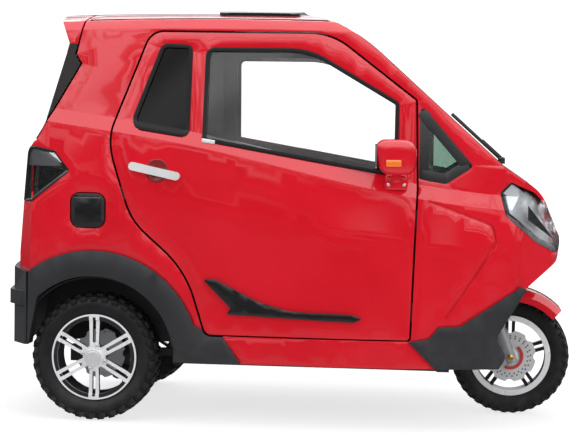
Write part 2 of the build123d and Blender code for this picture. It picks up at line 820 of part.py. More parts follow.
# Floor, rear deck and the bulkhead round the front wheel
with BuildPart() as floor_pan:
    add(inner)
    with BuildSketch(Plane.XZ.offset(-REACH_Y)):
        with BuildLine():
            Polyline(
                (DECK_FRONT_X, FLOOR_Z),
                (WELL_X0, FLOOR_Z),
                (WELL_X0, FLOOR_Z + FLOOR_T),
                (DECK_FRONT_X + FLOOR_T, FLOOR_Z + FLOOR_T),
                (DECK_FRONT_X + FLOOR_T, DECK_Z),
                (-REACH_X, DECK_Z),
                (-REACH_X, DECK_Z - FLOOR_T),
                (DECK_FRONT_X, DECK_Z - FLOOR_T),
                (DECK_FRONT_X, FLOOR_Z),
            )
        make_face()
    extrude(amount=2 * REACH_Y, mode=Mode.INTERSECT)
    add(gate_striker.part)
save(floor_pan.part, "floor_pan")

with BuildPart() as front_bulkhead:
    add(slab(WELL_X0, WELL_X0 + BULKHEAD_T, REACH_Y, FLOOR_Z, WELL_TOP_Z + BULKHEAD_T))
    add(slab(WELL_X0, WELL_X1, WELL_HALF, WELL_TOP_Z, WELL_TOP_Z + BULKHEAD_T))
    well_side = side_slab(
        WELL_X0, WELL_X1, -WELL_HALF, -WELL_HALF - BULKHEAD_T, FLOOR_Z, WELL_TOP_Z + BULKHEAD_T
    )
    add(both_sides(well_side))
    add(inner, mode=Mode.INTERSECT)
    with BuildSketch(STEER_PLANE):
        Circle(HEAD_TUBE_R + SEAM)
    extrude(amount=HEAD_HIGH_S, mode=Mode.SUBTRACT)
    add(both_sides(side_slab(*STRUT_BOX)), mode=Mode.SUBTRACT)
save(front_bulkhead.part, "front_bulkhead")

with BuildPart() as dashboard:
    add(inner)
    add(slab(DASH_X0, DASH_X1, REACH_Y, DASH_LOW_Z, DASH_TOP_Z), mode=Mode.INTERSECT)
    add(slab(DASH_X0, DASH_NOTCH_X, DASH_NOTCH_HALF, 0, 1500), mode=Mode.SUBTRACT)
save(dashboard.part, "dashboard")

# Chassis: two rails, cross members, struts and the steering head
with BuildPart() as chassis_frame:
    rail = side_slab(
        RAIL_X0, RAIL_X1, -RAIL_Y + RAIL_W / 2, -RAIL_Y - RAIL_W / 2, FLOOR_Z - RAIL_H, FLOOR_Z
    )
    add(both_sides(rail))
    for x in CROSS_X:
        add(slab(x - RAIL_W / 2, x + RAIL_W / 2, RAIL_Y, FLOOR_Z - RAIL_H, FLOOR_Z))
    add(both_sides(side_slab(*STRUT_BOX)))
    add(slab(STRUT_BOX[0], HEAD_BEAM_X1, -STRUT_BOX[3], HEAD_BEAM_LOW_Z, STRUT_BOX[5]))
    with BuildSketch(STEER_PLANE.offset(HEAD_LOW_S)):
        Circle(HEAD_TUBE_R)
    extrude(amount=HEAD_HIGH_S - HEAD_LOW_S)
    with BuildSketch(STEER_PLANE):
        Circle(STEM_R + BEARING_FIT)
    extrude(amount=2 * HEAD_HIGH_S, mode=Mode.SUBTRACT)
    with BuildSketch(Plane.XZ.offset(-RAIL_Y - RAIL_W)):
        with Locations(*[(x, FLOOR_Z - RAIL_H / 2) for x in TIE_DOWN_X]):
            Circle(TIE_DOWN_R)
    extrude(amount=2 * (RAIL_Y + RAIL_W), mode=Mode.SUBTRACT)
save(chassis_frame.part, "chassis_frame")

# Fork with crown, stem, brake caliper and axle
AXLE_LOCAL = STEER_PLANE.to_local_coords(Vector(FRONT_AXLE_X, 0, FRONT_TYRE_R))
with BuildPart() as front_fork:
    for side in (-1, 1):
        with BuildSketch(STEER_PLANE.offset(AXLE_LOCAL.Z)):
            with Locations((AXLE_LOCAL.X, side * FORK_LEG_Y)):
                Circle(FORK_LEG_R)
        extrude(amount=CROWN_S - AXLE_LOCAL.Z)
        with BuildSketch(STEER_PLANE.offset(AXLE_LOCAL.Z - 26)):
            with Locations((AXLE_LOCAL.X, side * FORK_LEG_Y)):
                Circle(FORK_LEG_R + 5)
        extrude(amount=SLIDER_L)
    with BuildSketch(STEER_PLANE.offset(CROWN_S - CROWN_T)):
        with Locations((AXLE_LOCAL.X / 2, 0)):
            RectangleRounded(CROWN_L, 2 * FORK_LEG_Y + 2 * FORK_LEG_R + 8, 12)
    extrude(amount=CROWN_T)
    with BuildSketch(STEER_PLANE.offset(CROWN_S - CROWN_T)):
        Circle(STEM_R)
    extrude(amount=STEM_TOP_S - CROWN_S + CROWN_T)
    with BuildSketch(Plane.XZ.offset(-FORK_LEG_Y)):
        with Locations((FRONT_AXLE_X, FRONT_TYRE_R)):
            Circle(AXLE_R)
    extrude(amount=2 * FORK_LEG_Y)
    with BuildSketch(Plane.XZ.offset(FRONT_DISC_Y - DISC_CLEAR - CALIPER_WALL)):
        with Locations(Location((FRONT_AXLE_X, FRONT_TYRE_R), CALIPER_ANGLE)):
            with Locations((FRONT_DISC_R - 6, 0)):
                Rectangle(CALIPER_L, 2 * CALIPER_HALF_H)
    extrude(amount=DISC_T + 2 * DISC_CLEAR + 2 * CALIPER_WALL)
    with BuildSketch(Plane.XZ.offset(FRONT_DISC_Y - DISC_CLEAR)):
        with Locations((FRONT_AXLE_X, FRONT_TYRE_R)):
            Circle(FRONT_DISC_R + DISC_CLEAR)
            Circle(HUB_R + DISC_CLEAR, mode=Mode.SUBTRACT)
    extrude(amount=DISC_T + 2 * DISC_CLEAR, mode=Mode.SUBTRACT)
    with BuildSketch(Plane.XZ.offset(FORK_LEG_Y - FORK_LEG_R)):
        with Locations(Location((FRONT_AXLE_X, FRONT_TYRE_R), CALIPER_ANGLE)):
            with Locations((FRONT_DISC_R - 20, -CALIPER_HALF_H)):
                Rectangle(CALIPER_L / 2, 3 * CALIPER_HALF_H)
    extrude(amount=CALIPER_WALL)
save(front_fork.part, "front_fork")

with BuildPart() as handlebar:
    stem_top = STEER_PLANE.from_local_coords(Vector(0, 0, STEM_TOP_S))
    add(rod(tuple(stem_top), (BAR_X, 0, BAR_Z), STEM_R - 4))
    add(rod((BAR_X, -BAR_HALF, BAR_Z), (BAR_X, BAR_HALF, BAR_Z), BAR_R))
    for side in (-1, 1):
        add(rod((BAR_X, side * BAR_HALF, BAR_Z), (BAR_X, side * (BAR_HALF - GRIP_L), BAR_Z), GRIP_R))
    with BuildSketch(STEER_PLANE):
        Circle(STEM_R + 6)
    extrude(amount=STEM_TOP_S, mode=Mode.SUBTRACT)
save(handlebar.part, "handlebar")

# Front mudguard: a hood round the top of the tyre that the fork legs pass through
guard_plane = Plane(
    origin=(FRONT_AXLE_X, 0, FRONT_TYRE_R),
    x_dir=(cos(radians(GUARD_FROM)), 0, sin(radians(GUARD_FROM))),
    z_dir=(-sin(radians(GUARD_FROM)), 0, cos(radians(GUARD_FROM))),
)
with BuildPart() as front_mudguard:
    with BuildSketch(guard_plane):
        with BuildLine():
            half_out = [
                (GUARD_SIDE_R, GUARD_HALF),
                (GUARD_R - GUARD_SHOULDER, GUARD_HALF),
                (GUARD_R, GUARD_HALF - GUARD_SHOULDER),
            ]
            half_in = [
                (GUARD_SIDE_R, GUARD_HALF - GUARD_T),
                (GUARD_R - GUARD_SHOULDER - GUARD_T / 2, GUARD_HALF - GUARD_T),
                (GUARD_R - GUARD_T, GUARD_HALF - GUARD_SHOULDER - GUARD_T / 2),
            ]
            Polyline(
                *half_out,
                *[(r, -y) for r, y in reversed(half_out)],
                *[(r, -y) for r, y in half_in],
                *reversed(half_in),
                close=True,
            )
        make_face()
    revolve(axis=Axis((FRONT_AXLE_X, 0, FRONT_TYRE_R), (0, -1, 0)), revolution_arc=GUARD_TO - GUARD_FROM)
    for side in (-1, 1):
        with BuildSketch(STEER_PLANE):
            with Locations((AXLE_LOCAL.X, side * FORK_LEG_Y)):
                Circle(FORK_LEG_R)
        extrude(amount=CROWN_S, mode=Mode.SUBTRACT)
save(front_mudguard.part, "front_mudguard")


def tyre(radius, width, rim_r):
    """Tyre about the Y axis, seated between the rim's flanges."""
    bead_r = rim_r - RIM_LIP
    seat = BEAD_SHARE * width
    half = [
        (bead_r, seat),
        (rim_r + 1, seat),
        (rim_r + 0.45 * (radius - rim_r), width / 2),
        (radius - TYRE_SHOULDER, 0.45 * width),
        (radius, TREAD_SHARE * width),
    ]
    with BuildPart() as ring:
        with BuildSketch(Plane.XY):
            with BuildLine():
                Polyline(*half, *[(r, -y) for r, y in reversed(half)], close=True)
            make_face()
        revolve(axis=Axis.Y)
    return ring.part


def rim(width, rim_r, spokes, spoke_y, disc_r, disc_y, bore_r, hub_half):
    """Rim, spokes, hub and brake disc about the Y axis, outer face towards -Y."""
    bead_r = rim_r - RIM_LIP
    seat = BEAD_SHARE * width
    half = seat + FLANGE_T
    well_r = bead_r - RIM_WALL
    with BuildPart() as wheel:
        with BuildSketch(Plane.XY):
            with BuildLine():
                Polyline(
                    (well_r, -half), (rim_r, -half), (rim_r, -seat), (bead_r, -seat),
                    (bead_r, seat), (rim_r, seat), (rim_r, half), (well_r, half),
                    close=True,
                )
            make_face()
        revolve(axis=Axis.Y)
        with BuildSketch(Plane.XZ.offset(spoke_y)):
            Circle(HUB_FACE_R)
            with PolarLocations(0, spokes, start_angle=90):
                Polygon(
                    (0, -SPOKE_ROOT), (well_r + RIM_WALL / 2, -SPOKE_TIP),
                    (well_r + RIM_WALL / 2, SPOKE_TIP), (0, SPOKE_ROOT), align=None,
                )
            with PolarLocations(0.5 * (HUB_FACE_R + well_r) + SPOKE_TIP / 3, spokes, start_angle=90):
                SlotOverall(well_r - HUB_FACE_R - SPOKE_TIP / 3, SPOKE_SLOT, mode=Mode.SUBTRACT)
        extrude(amount=SPOKE_T)
        with BuildSketch(Plane.XZ.offset(-hub_half)):
            Circle(HUB_R)
        extrude(amount=2 * hub_half)
        with BuildSketch(Plane.XZ.offset(disc_y)):
            Circle(disc_r)
            with PolarLocations(disc_r + PETAL_R / 2, PETALS):
                Circle(PETAL_R, mode=Mode.SUBTRACT)
        extrude(amount=DISC_T)
        with BuildSketch(Plane.XZ.offset(-200)):
            Circle(bore_r)
        extrude(amount=400, mode=Mode.SUBTRACT)
    return wheel.part


def placed(part, x, y, z):
    """A piece modelled at the origin, set at its place."""
    with BuildPart() as moved:
        add(Pos(x, y, z) * part)
    return moved.part


front_rim = rim(
    FRONT_TYRE_W, FRONT_RIM_R, FRONT_SPOKES, -SPOKE_T / 2, FRONT_DISC_R, FRONT_DISC_Y, AXLE_R + BEARING_FIT, FRONT_HUB_HALF
)
rear_rim = rim(
    REAR_TYRE_W, REAR_RIM_R, REAR_SPOKES, REAR_SPOKE_Y, REAR_DISC_R, -REAR_DISC_Y, STUB_R + BEARING_FIT, REAR_HUB_HALF
)
save(placed(tyre(FRONT_TYRE_R, FRONT_TYRE_W, FRONT_RIM_R), FRONT_AXLE_X, 0, FRONT_TYRE_R), "front_tyre")
save(placed(front_rim, FRONT_AXLE_X, 0, FRONT_TYRE_R), "front_rim")
rear_tyre_right = placed(tyre(REAR_TYRE_R, REAR_TYRE_W, REAR_RIM_R), REAR_AXLE_X, -REAR_WHEEL_Y, REAR_TYRE_R)
rear_rim_right = placed(rear_rim, REAR_AXLE_X, -REAR_WHEEL_Y, REAR_TYRE_R)
save(rear_tyre_right, "rear_tyre_right")
save(left_of(rear_tyre_right), "rear_tyre_left")
save(rear_rim_right, "rear_rim_right")
save(left_of(rear_rim_right), "rear_rim_left")

# Trailing arm and spring pad on the axle tube: x0, x1, y_in, y_out, z0, z1
ARM_BOX = (
    REAR_AXLE_X + AXLE_TUBE_R / 3, RAIL_X0, -RAIL_Y + ARM_W / 2, -RAIL_Y - ARM_W / 2,
    REAR_TYRE_R - 0.7 * ARM_H, REAR_TYRE_R + 0.3 * ARM_H,
)
PAD_BOX = (
    REAR_AXLE_X - PAD_L / 2, REAR_AXLE_X + PAD_L / 2, -SPRING_Y + PAD_L / 2, -SPRING_Y - PAD_L / 2,
    REAR_TYRE_R + AXLE_TUBE_R / 3, REAR_TYRE_R + PAD_H,
)

# Rear caliper behind the axle, the slot that the disc runs in, and its arm: x0, x1, y_in, y_out, z0, z1
disc_in_y = REAR_DISC_Y - REAR_WHEEL_Y
CALIPER_BOX = (
    REAR_AXLE_X - REAR_DISC_R - 20, REAR_AXLE_X - REAR_DISC_R + 34, disc_in_y + CALIPER_IN,
    disc_in_y - DISC_T - CALIPER_OUT, REAR_TYRE_R - CALIPER_HALF_H, REAR_TYRE_R + CALIPER_HALF_H,
)
CALIPER_SLOT = (
    REAR_AXLE_X - REAR_DISC_R - DISC_CLEAR, REAR_AXLE_X - REAR_DISC_R + 40, disc_in_y + DISC_CLEAR,
    disc_in_y - DISC_T - DISC_CLEAR, REAR_TYRE_R - CALIPER_HALF_H - 1, REAR_TYRE_R + CALIPER_HALF_H + 1,
)
CALIPER_ARM = (
    REAR_AXLE_X - REAR_DISC_R, REAR_AXLE_X - AXLE_TUBE_R / 2, disc_in_y + CALIPER_IN,
    disc_in_y + CALIPER_IN - 10, REAR_TYRE_R - AXLE_TUBE_R / 2, REAR_TYRE_R + AXLE_TUBE_R / 2,
)

# Rear axle with its motor, trailing arms, spring pads, stub shafts and brake calipers
with BuildPart() as axle_half:
    add(rod((REAR_AXLE_X, 0, REAR_TYRE_R), (REAR_AXLE_X, -AXLE_TUBE_HALF, REAR_TYRE_R), AXLE_TUBE_R))
    add(rod((REAR_AXLE_X, 0, REAR_TYRE_R), (REAR_AXLE_X, -REAR_WHEEL_Y - REAR_HUB_HALF, REAR_TYRE_R), STUB_R))
    add(side_slab(*ARM_BOX))
    add(side_slab(*PAD_BOX))
    add(side_slab(*CALIPER_BOX))
    add(side_slab(*CALIPER_SLOT), mode=Mode.SUBTRACT)
    add(side_slab(*CALIPER_ARM))
with BuildPart() as rear_axle:
    add(both_sides(axle_half.part))
    add(rod((REAR_AXLE_X, -MOTOR_L / 2, REAR_TYRE_R), (REAR_AXLE_X, MOTOR_L / 2, REAR_TYRE_R), MOTOR_R))
save(rear_axle.part, "rear_axle")

spring_low = REAR_TYRE_R + PAD_H
spring_high = DECK_Z - FLOOR_T
with BuildPart() as spring:
    for radius, low, high in (
        (SPRING_R, spring_low, spring_low + SPRING_SEAT_H),
        (SPRING_CORE_R, spring_low, spring_high),
        (SPRING_R, spring_high - SPRING_SEAT_H, spring_high),
    ):
        add(rod((REAR_AXLE_X, -SPRING_Y, low), (REAR_AXLE_X, -SPRING_Y, high), radius))
save(both_sides(spring.part), "rear_springs")

# Wheelhouses: drums over the rear wheels, closed on the inside
house_r = DECK_Z - FLOOR_T - REAR_TYRE_R - SEAT_GAP
with BuildPart() as wheelhouse:
    with BuildSketch(Plane.XZ.offset(HOUSE_IN_Y)):
        with Locations((REAR_AXLE_X, REAR_TYRE_R)):
            Circle(house_r)
    extrude(amount=HOUSE_OUT_Y - HOUSE_IN_Y)
    with BuildSketch(Plane.XZ.offset(HOUSE_IN_Y + HOUSE_T)):
        with Locations((REAR_AXLE_X, REAR_TYRE_R)):
            Circle(house_r - HOUSE_T)
    extrude(amount=HOUSE_OUT_Y, mode=Mode.SUBTRACT)
    add(slab(REAR_AXLE_X - 2 * house_r, REAR_AXLE_X + 2 * house_r, REACH_Y, -house_r, HOUSE_LOW_Z), mode=Mode.SUBTRACT)
    add(rear_clad_form.part, mode=Mode.SUBTRACT)
save(both_sides(wheelhouse.part), "wheelhouses")

# Battery block under the driver's seat, and the seats
with BuildPart() as battery_block:
    add(slab(BATTERY_X0, BATTERY_X1, BATTERY_HALF, FLOOR_Z + FLOOR_T, FLOOR_Z + FLOOR_T + BATTERY_H))
    fillet(battery_block.edges().filter_by(Axis.Z), 12)
save(battery_block.part, "battery_block")

for name, x0, x1, half, z0, height, lean in SEATS:
    foot_z = z0 + SEAT_GAP + 0.5 * (x1 - x0) * sin(radians(lean))
    with BuildPart() as seat:
        with BuildSketch(Plane((0.5 * (x0 + x1), 0, foot_z)).rotated((0, -lean, 0))):
            RectangleRounded(x1 - x0, 2 * half, 30)
        extrude(amount=height)
    save(seat.part, name)
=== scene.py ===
"""Dresses the enclosed electric tricycle: finishes, tyres, seals, lamps, seats and a plain studio."""

import json
import logging
import math
from dataclasses import dataclass, field
from enum import Enum
from typing import Callable, ClassVar, Sequence

import bpy
from mathutils import Matrix, Vector

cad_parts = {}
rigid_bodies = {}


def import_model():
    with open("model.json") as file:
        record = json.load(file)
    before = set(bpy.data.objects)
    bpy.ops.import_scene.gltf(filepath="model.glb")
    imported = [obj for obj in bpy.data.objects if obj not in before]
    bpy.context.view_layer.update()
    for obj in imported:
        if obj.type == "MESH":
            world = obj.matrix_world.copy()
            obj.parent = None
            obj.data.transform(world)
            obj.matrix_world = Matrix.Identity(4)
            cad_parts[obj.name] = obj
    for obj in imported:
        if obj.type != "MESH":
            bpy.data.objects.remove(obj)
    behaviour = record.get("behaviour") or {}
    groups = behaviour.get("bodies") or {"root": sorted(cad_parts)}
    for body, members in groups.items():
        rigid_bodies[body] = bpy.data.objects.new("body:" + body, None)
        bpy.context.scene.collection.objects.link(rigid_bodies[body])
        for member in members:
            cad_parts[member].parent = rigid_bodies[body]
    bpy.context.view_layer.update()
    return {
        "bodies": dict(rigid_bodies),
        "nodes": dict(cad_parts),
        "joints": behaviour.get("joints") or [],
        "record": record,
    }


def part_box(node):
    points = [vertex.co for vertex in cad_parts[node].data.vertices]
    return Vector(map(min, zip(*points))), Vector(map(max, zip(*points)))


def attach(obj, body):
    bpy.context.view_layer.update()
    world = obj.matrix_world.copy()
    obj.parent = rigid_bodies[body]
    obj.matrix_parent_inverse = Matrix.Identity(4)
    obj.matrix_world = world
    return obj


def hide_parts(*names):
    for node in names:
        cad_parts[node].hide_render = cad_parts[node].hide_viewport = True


LOG = logging.getLogger("tricycle")
WELD_GAP = 0.00002  # vertices closer than this are one

Object = bpy.types.Object
Material = bpy.types.Material
Node = bpy.types.Node
NodeTree = bpy.types.NodeTree
Socket = bpy.types.NodeSocket
Colour = tuple[float, float, float]
Point = tuple[float, float, float]
Span = tuple[float, float]
Profile = Sequence[Span]
Cut = tuple[Point, Point]
FrameSize = tuple[float, float, float]
FaceTest = Callable[[Vector, Vector], bool]

ORIGIN: Point = (0.0, 0.0, 0.0)
AHEAD_X = 1.4  # a place in front of the vehicle
MIRRORED = Matrix.Diagonal((1.0, -1.0, 1.0, 1.0))


class Side(Enum):
    """Which side of the vehicle a piece is on; the value is the sign of its Y."""

    RIGHT = -1
    LEFT = 1

    @property
    def word(self) -> str:
        """The side's word in node names."""
        return self.name.lower()

    @property
    def door(self) -> str:
        """The body of the side's door."""
        return f"door_{self.word[0]}"


class Grain(Enum):
    """Surface texture of a finish: noise scale per metre and bump height in metres."""

    SMOOTH = (40.0, 0.00002)
    ORANGE_PEEL = (420.0, 0.00003)
    MOULDED = (1500.0, 0.00012)
    LEATHER = (900.0, 0.00018)
    CAST = (1100.0, 0.00008)
    RUBBER = (2200.0, 0.00005)

    @property
    def scale(self) -> float:
        """Noise scale per metre."""
        return self.value[0]

    @property
    def height(self) -> float:
        """Bump height in metres."""
        return self.value[1]


class NodeKit:
    """Short names for building shader node trees."""

    def __init__(self, tree: NodeTree) -> None:
        """Args:
        """
        self.tree = tree

    def add(self, kind: str, **values: object) -> Node:
        """Add a node and set its properties.

        Args:
            kind: the node's type name.
            values: properties to set on the node.

        Returns:
            The new node.
        """
        node = self.tree.nodes.new(kind)
        for name, value in values.items():
            setattr(node, name, value)
        return node

    @classmethod
    def material(cls, name: str) -> tuple["NodeKit", Material, Node]:
        """Start a material.

        Args:
            name: the material's name.
        """
        material = bpy.data.materials.new(name)
        material.use_nodes = True
        return cls(material.node_tree), material, material.node_tree.nodes["Principled BSDF"]

    def link(self, source: Socket, target: Socket) -> None:
        """Join two sockets."""
        self.tree.links.new(source, target)

    def place(self) -> Socket:
        """The place on the object."""
        return self.add("ShaderNodeTexCoord").outputs["Object"]

    def axes(self, place: Socket) -> bpy.types.NodeOutputs:
        """The X, Y and Z of a place."""
        node = self.add("ShaderNodeSeparateXYZ")
        self.link(place, node.inputs[0])
        return node.outputs

    def seen(self) -> Socket:
        """One for what the camera sees straight or through glass."""
        rays = self.add("ShaderNodeLightPath").outputs
        return self.math("MAXIMUM", rays["Is Camera Ray"], rays["Is Transmission Ray"])

    def blend(self, factor: Socket, first: Node, second: Node,
              target: Socket) -> None:
        """Mix two shaders into a socket.

        Args:
            factor: share of the second shader.
            first: the first shader.
            second: the second shader.
            target: where the mixture goes.
        """
        mixer = self.add("ShaderNodeMixShader")
        for source, slot in zip((factor, first.outputs[0], second.outputs[0]), mixer.inputs):
            self.link(source, slot)
        self.link(mixer.outputs[0], target)

    def grain(self, group: NodeTree, shader: Node, scale: float, roughness: float,
              unevenness: float, height: float = 0.0) -> None:
        """Give a shader an uneven roughness and a fine bump.

        Args:
            group: the shared surface group.
            shader: the shader.
            scale: noise scale per metre.
            roughness: its middle roughness.
            unevenness: swing of the roughness.
            height: the bump's height, none at zero.
        """
        surface = self.add("ShaderNodeGroup", node_tree=group)
        for label, value in (("Scale", scale), ("Roughness", roughness), ("Unevenness", unevenness)):
            surface.inputs[label].default_value = value
        self.link(surface.outputs["Roughness"], shader.inputs["Roughness"])
        if height:
            bump = self.add("ShaderNodeBump")
            bump.inputs["Distance"].default_value = height
            self.link(surface.outputs["Height"], bump.inputs["Height"])
            self.link(bump.outputs[0], shader.inputs["Normal"])

    def math(self, operation: str, *values: object) -> Socket:
        """Add a Math node.

        Args:
            operation: the node's operation.
            values: a number or a socket for each input.

        Returns:
            The node's output socket.
        """
        node = self.add("ShaderNodeMath", operation=operation)
        for slot, value in zip(node.inputs, values):
            if isinstance(value, Socket):
                self.link(value, slot)
            else:
                slot.default_value = value
        return node.outputs[0]

    def noise(self, vector: Socket, scale: float, detail: float = 2.0) -> Socket:
        """Add a noise texture and return its value socket."""
        node = self.add("ShaderNodeTexNoise")
        node.inputs["Scale"].default_value = scale
        node.inputs["Detail"].default_value = detail
        self.link(vector, node.inputs["Vector"])
        return node.outputs[0]

    def spread(self, value: Socket, low: float, high: float,
               to_low: float, to_high: float) -> Socket:
        """Map a value from one range to another, clamped and eased.

        Args:
            value: the socket to map.
            low: value that gives to_low.
            high: value that gives to_high.
            to_low: result at low.
            to_high: result at high.

        Returns:
            The mapped value's socket.
        """
        node = self.add("ShaderNodeMapRange", interpolation_type="SMOOTHSTEP")
        self.link(value, node.inputs["Value"])
        for name, number in zip(("From Min", "From Max", "To Min", "To Max"), (low, high, to_low, to_high)):
            node.inputs[name].default_value = number
        return node.outputs[0]

    def mix(self, factor: Socket, first: object, second: object) -> Socket:
        """Mix two colours, each a colour or a socket, and return the result's socket."""
        node = self.add("ShaderNodeMix", data_type="RGBA")
        self.link(factor, node.inputs["Factor"])
        for label, value in (("A", first), ("B", second)):
            slot = [s for s in node.inputs if s.name == label and s.type == "RGBA"][0]
            if isinstance(value, Socket):
                self.link(value, slot)
            else:
                slot.default_value = (*value, 1.0)
        return [s for s in node.outputs if s.type == "RGBA"][0]


class SharedEffects:
    """Shader node groups that several finishes use."""

    PATCH_SCALE: ClassVar[float] = 7.0
    PATCH_BAND: ClassVar[Span] = (0.3, 0.7)
    SPOT_SCALE: ClassVar[float] = 26.0
    SPOT_BAND: ClassVar[Span] = (0.35, 0.75)
    SPOT_LEAST: ClassVar[float] = 0.25

    def __init__(self) -> None:
        """Build the groups once."""
        self.surface = self.build_surface()
        self.road_film = self.build_road_film()

    @staticmethod
    def new_group(name: str, inputs: dict[str, float], outputs: Sequence[str]) -> NodeTree:
        """Start a group with float sockets.

        Args:
            name: the group's name.
            inputs: input names with their defaults.
            outputs: output names.

        Returns:
            The empty group.
        """
        group = bpy.data.node_groups.new(name, "ShaderNodeTree")
        for label, value in inputs.items():
            socket = group.interface.new_socket(label, in_out="INPUT", socket_type="NodeSocketFloat")
            socket.default_value = value
        for label in outputs:
            group.interface.new_socket(label, in_out="OUTPUT", socket_type="NodeSocketFloat")
        return group

    def build_surface(self) -> NodeTree:
        """Grain height and an uneven roughness.

        Returns:
            The group, with outputs Height and Roughness.
        """
        group = self.new_group("surface_grain", {"Scale": 500.0, "Roughness": 0.4, "Unevenness": 0.06},
                               ("Height", "Roughness"))
        kit = NodeKit(group)
        source = kit.add("NodeGroupInput")
        target = kit.add("NodeGroupOutput")
        place = kit.place()
        grain = kit.add("ShaderNodeTexNoise")
        grain.inputs["Detail"].default_value = 3.0
        kit.link(place, grain.inputs["Vector"])
        kit.link(source.outputs["Scale"], grain.inputs["Scale"])
        kit.link(grain.outputs[0], target.inputs["Height"])
        patches = kit.spread(kit.noise(place, self.PATCH_SCALE, 5.0), *self.PATCH_BAND, -1.0, 1.0)
        swing = kit.math("MULTIPLY", patches, source.outputs["Unevenness"])
        kit.link(kit.math("ADD", source.outputs["Roughness"], swing), target.inputs["Roughness"])
        return group

    def build_road_film(self) -> NodeTree:
        """Mask of the thin dust near the road.

        Returns:
            The group, with the output Mask.
        """
        group = self.new_group("road_film", {"Top": 0.5, "Amount": 0.2}, ("Mask",))
        kit = NodeKit(group)
        source = kit.add("NodeGroupInput")
        target = kit.add("NodeGroupOutput")
        place = kit.place()
        share = kit.math("DIVIDE", kit.axes(place)["Z"], source.outputs["Top"])
        low = kit.spread(share, 0.0, 1.0, 1.0, 0.0)
        spots = kit.spread(kit.noise(place, self.SPOT_SCALE, 6.0), *self.SPOT_BAND, self.SPOT_LEAST, 1.0)
        film = kit.math("MULTIPLY", kit.math("MULTIPLY", low, spots), source.outputs["Amount"])
        kit.link(film, target.inputs["Mask"])
        return group


@dataclass(frozen=True)
class Finish:
    """An opaque finish with grain, uneven gloss and a little road dust."""

    name: str
    colour: Colour
    roughness: float = 0.5
    unevenness: float = 0.05
    metallic: float = 0.0
    coat: float = 0.0
    coat_roughness: float = 0.03
    specular: float = 0.5
    grain: Grain = Grain.SMOOTH
    dust: float = 0.15
    dust_top: float = 0.5
    tint: Colour | None = None
    tint_scale: float = 4.0
    glow: float = 0.0

    DUST: ClassVar[Colour] = (0.30, 0.27, 0.24)
    PLAIN_TINT: ClassVar[float] = 0.86
    CLOUD_BAND: ClassVar[Span] = (0.35, 0.7)

    def build(self, shared: SharedEffects) -> Material:
        """Make the material.

        Args:
            shared: the node groups.

        Returns:
            The finished material.
        """
        kit, material, shader = NodeKit.material(self.name)
        for label, value in (("Metallic", self.metallic), ("Coat Weight", self.coat),
                             ("Coat Roughness", self.coat_roughness), ("Specular IOR Level", self.specular)):
            shader.inputs[label].default_value = value
        kit.grain(shared.surface, shader, self.grain.scale, self.roughness, self.unevenness,
                  self.grain.height)
        second = self.tint or tuple(self.PLAIN_TINT * c for c in self.colour)
        cloud = kit.spread(kit.noise(kit.place(), self.tint_scale, 4.0), *self.CLOUD_BAND, 0.0, 1.0)
        colour = kit.mix(cloud, self.colour, second)
        film = kit.add("ShaderNodeGroup", node_tree=shared.road_film)
        film.inputs["Top"].default_value = self.dust_top
        film.inputs["Amount"].default_value = self.dust
        kit.link(kit.mix(film.outputs["Mask"], colour, self.DUST), shader.inputs["Base Color"])
        if self.glow:
            shader.inputs["Emission Color"].default_value = (*self.colour, 1.0)
            shader.inputs["Emission Strength"].default_value = self.glow
        return material


@dataclass(frozen=True)
class Glass:
    """Clear or tinted pane that lets light through in the shadows."""

    name: str
    colour: Colour
    roughness: float = 0.0
    index: float = 1.45
    clear: float = 0.0

    GRAIN_SCALE: ClassVar[float] = 30.0
    UNEVENNESS: ClassVar[float] = 0.01

    def build(self, shared: SharedEffects) -> Material:
        """Make the material.

        Args:
            shared: the node groups.

        Returns:
            The finished material.
        """
        kit, material, shader = NodeKit.material(self.name)
        shader.inputs["Base Color"].default_value = (*self.colour, 1.0)
        shader.inputs["Transmission Weight"].default_value = 1.0
        shader.inputs["IOR"].default_value = self.index
        kit.grain(shared.surface, shader, self.GRAIN_SCALE, self.roughness, self.UNEVENNESS)
        see = kit.add("ShaderNodeBsdfTransparent")
        see.inputs[0].default_value = (*self.colour, 1.0)
        path = kit.add("ShaderNodeLightPath")
        factor = kit.math("MAXIMUM", path.outputs["Is Shadow Ray"], self.clear)
        kit.blend(factor, shader, see, material.node_tree.nodes["Material Output"].inputs["Surface"])
        return material


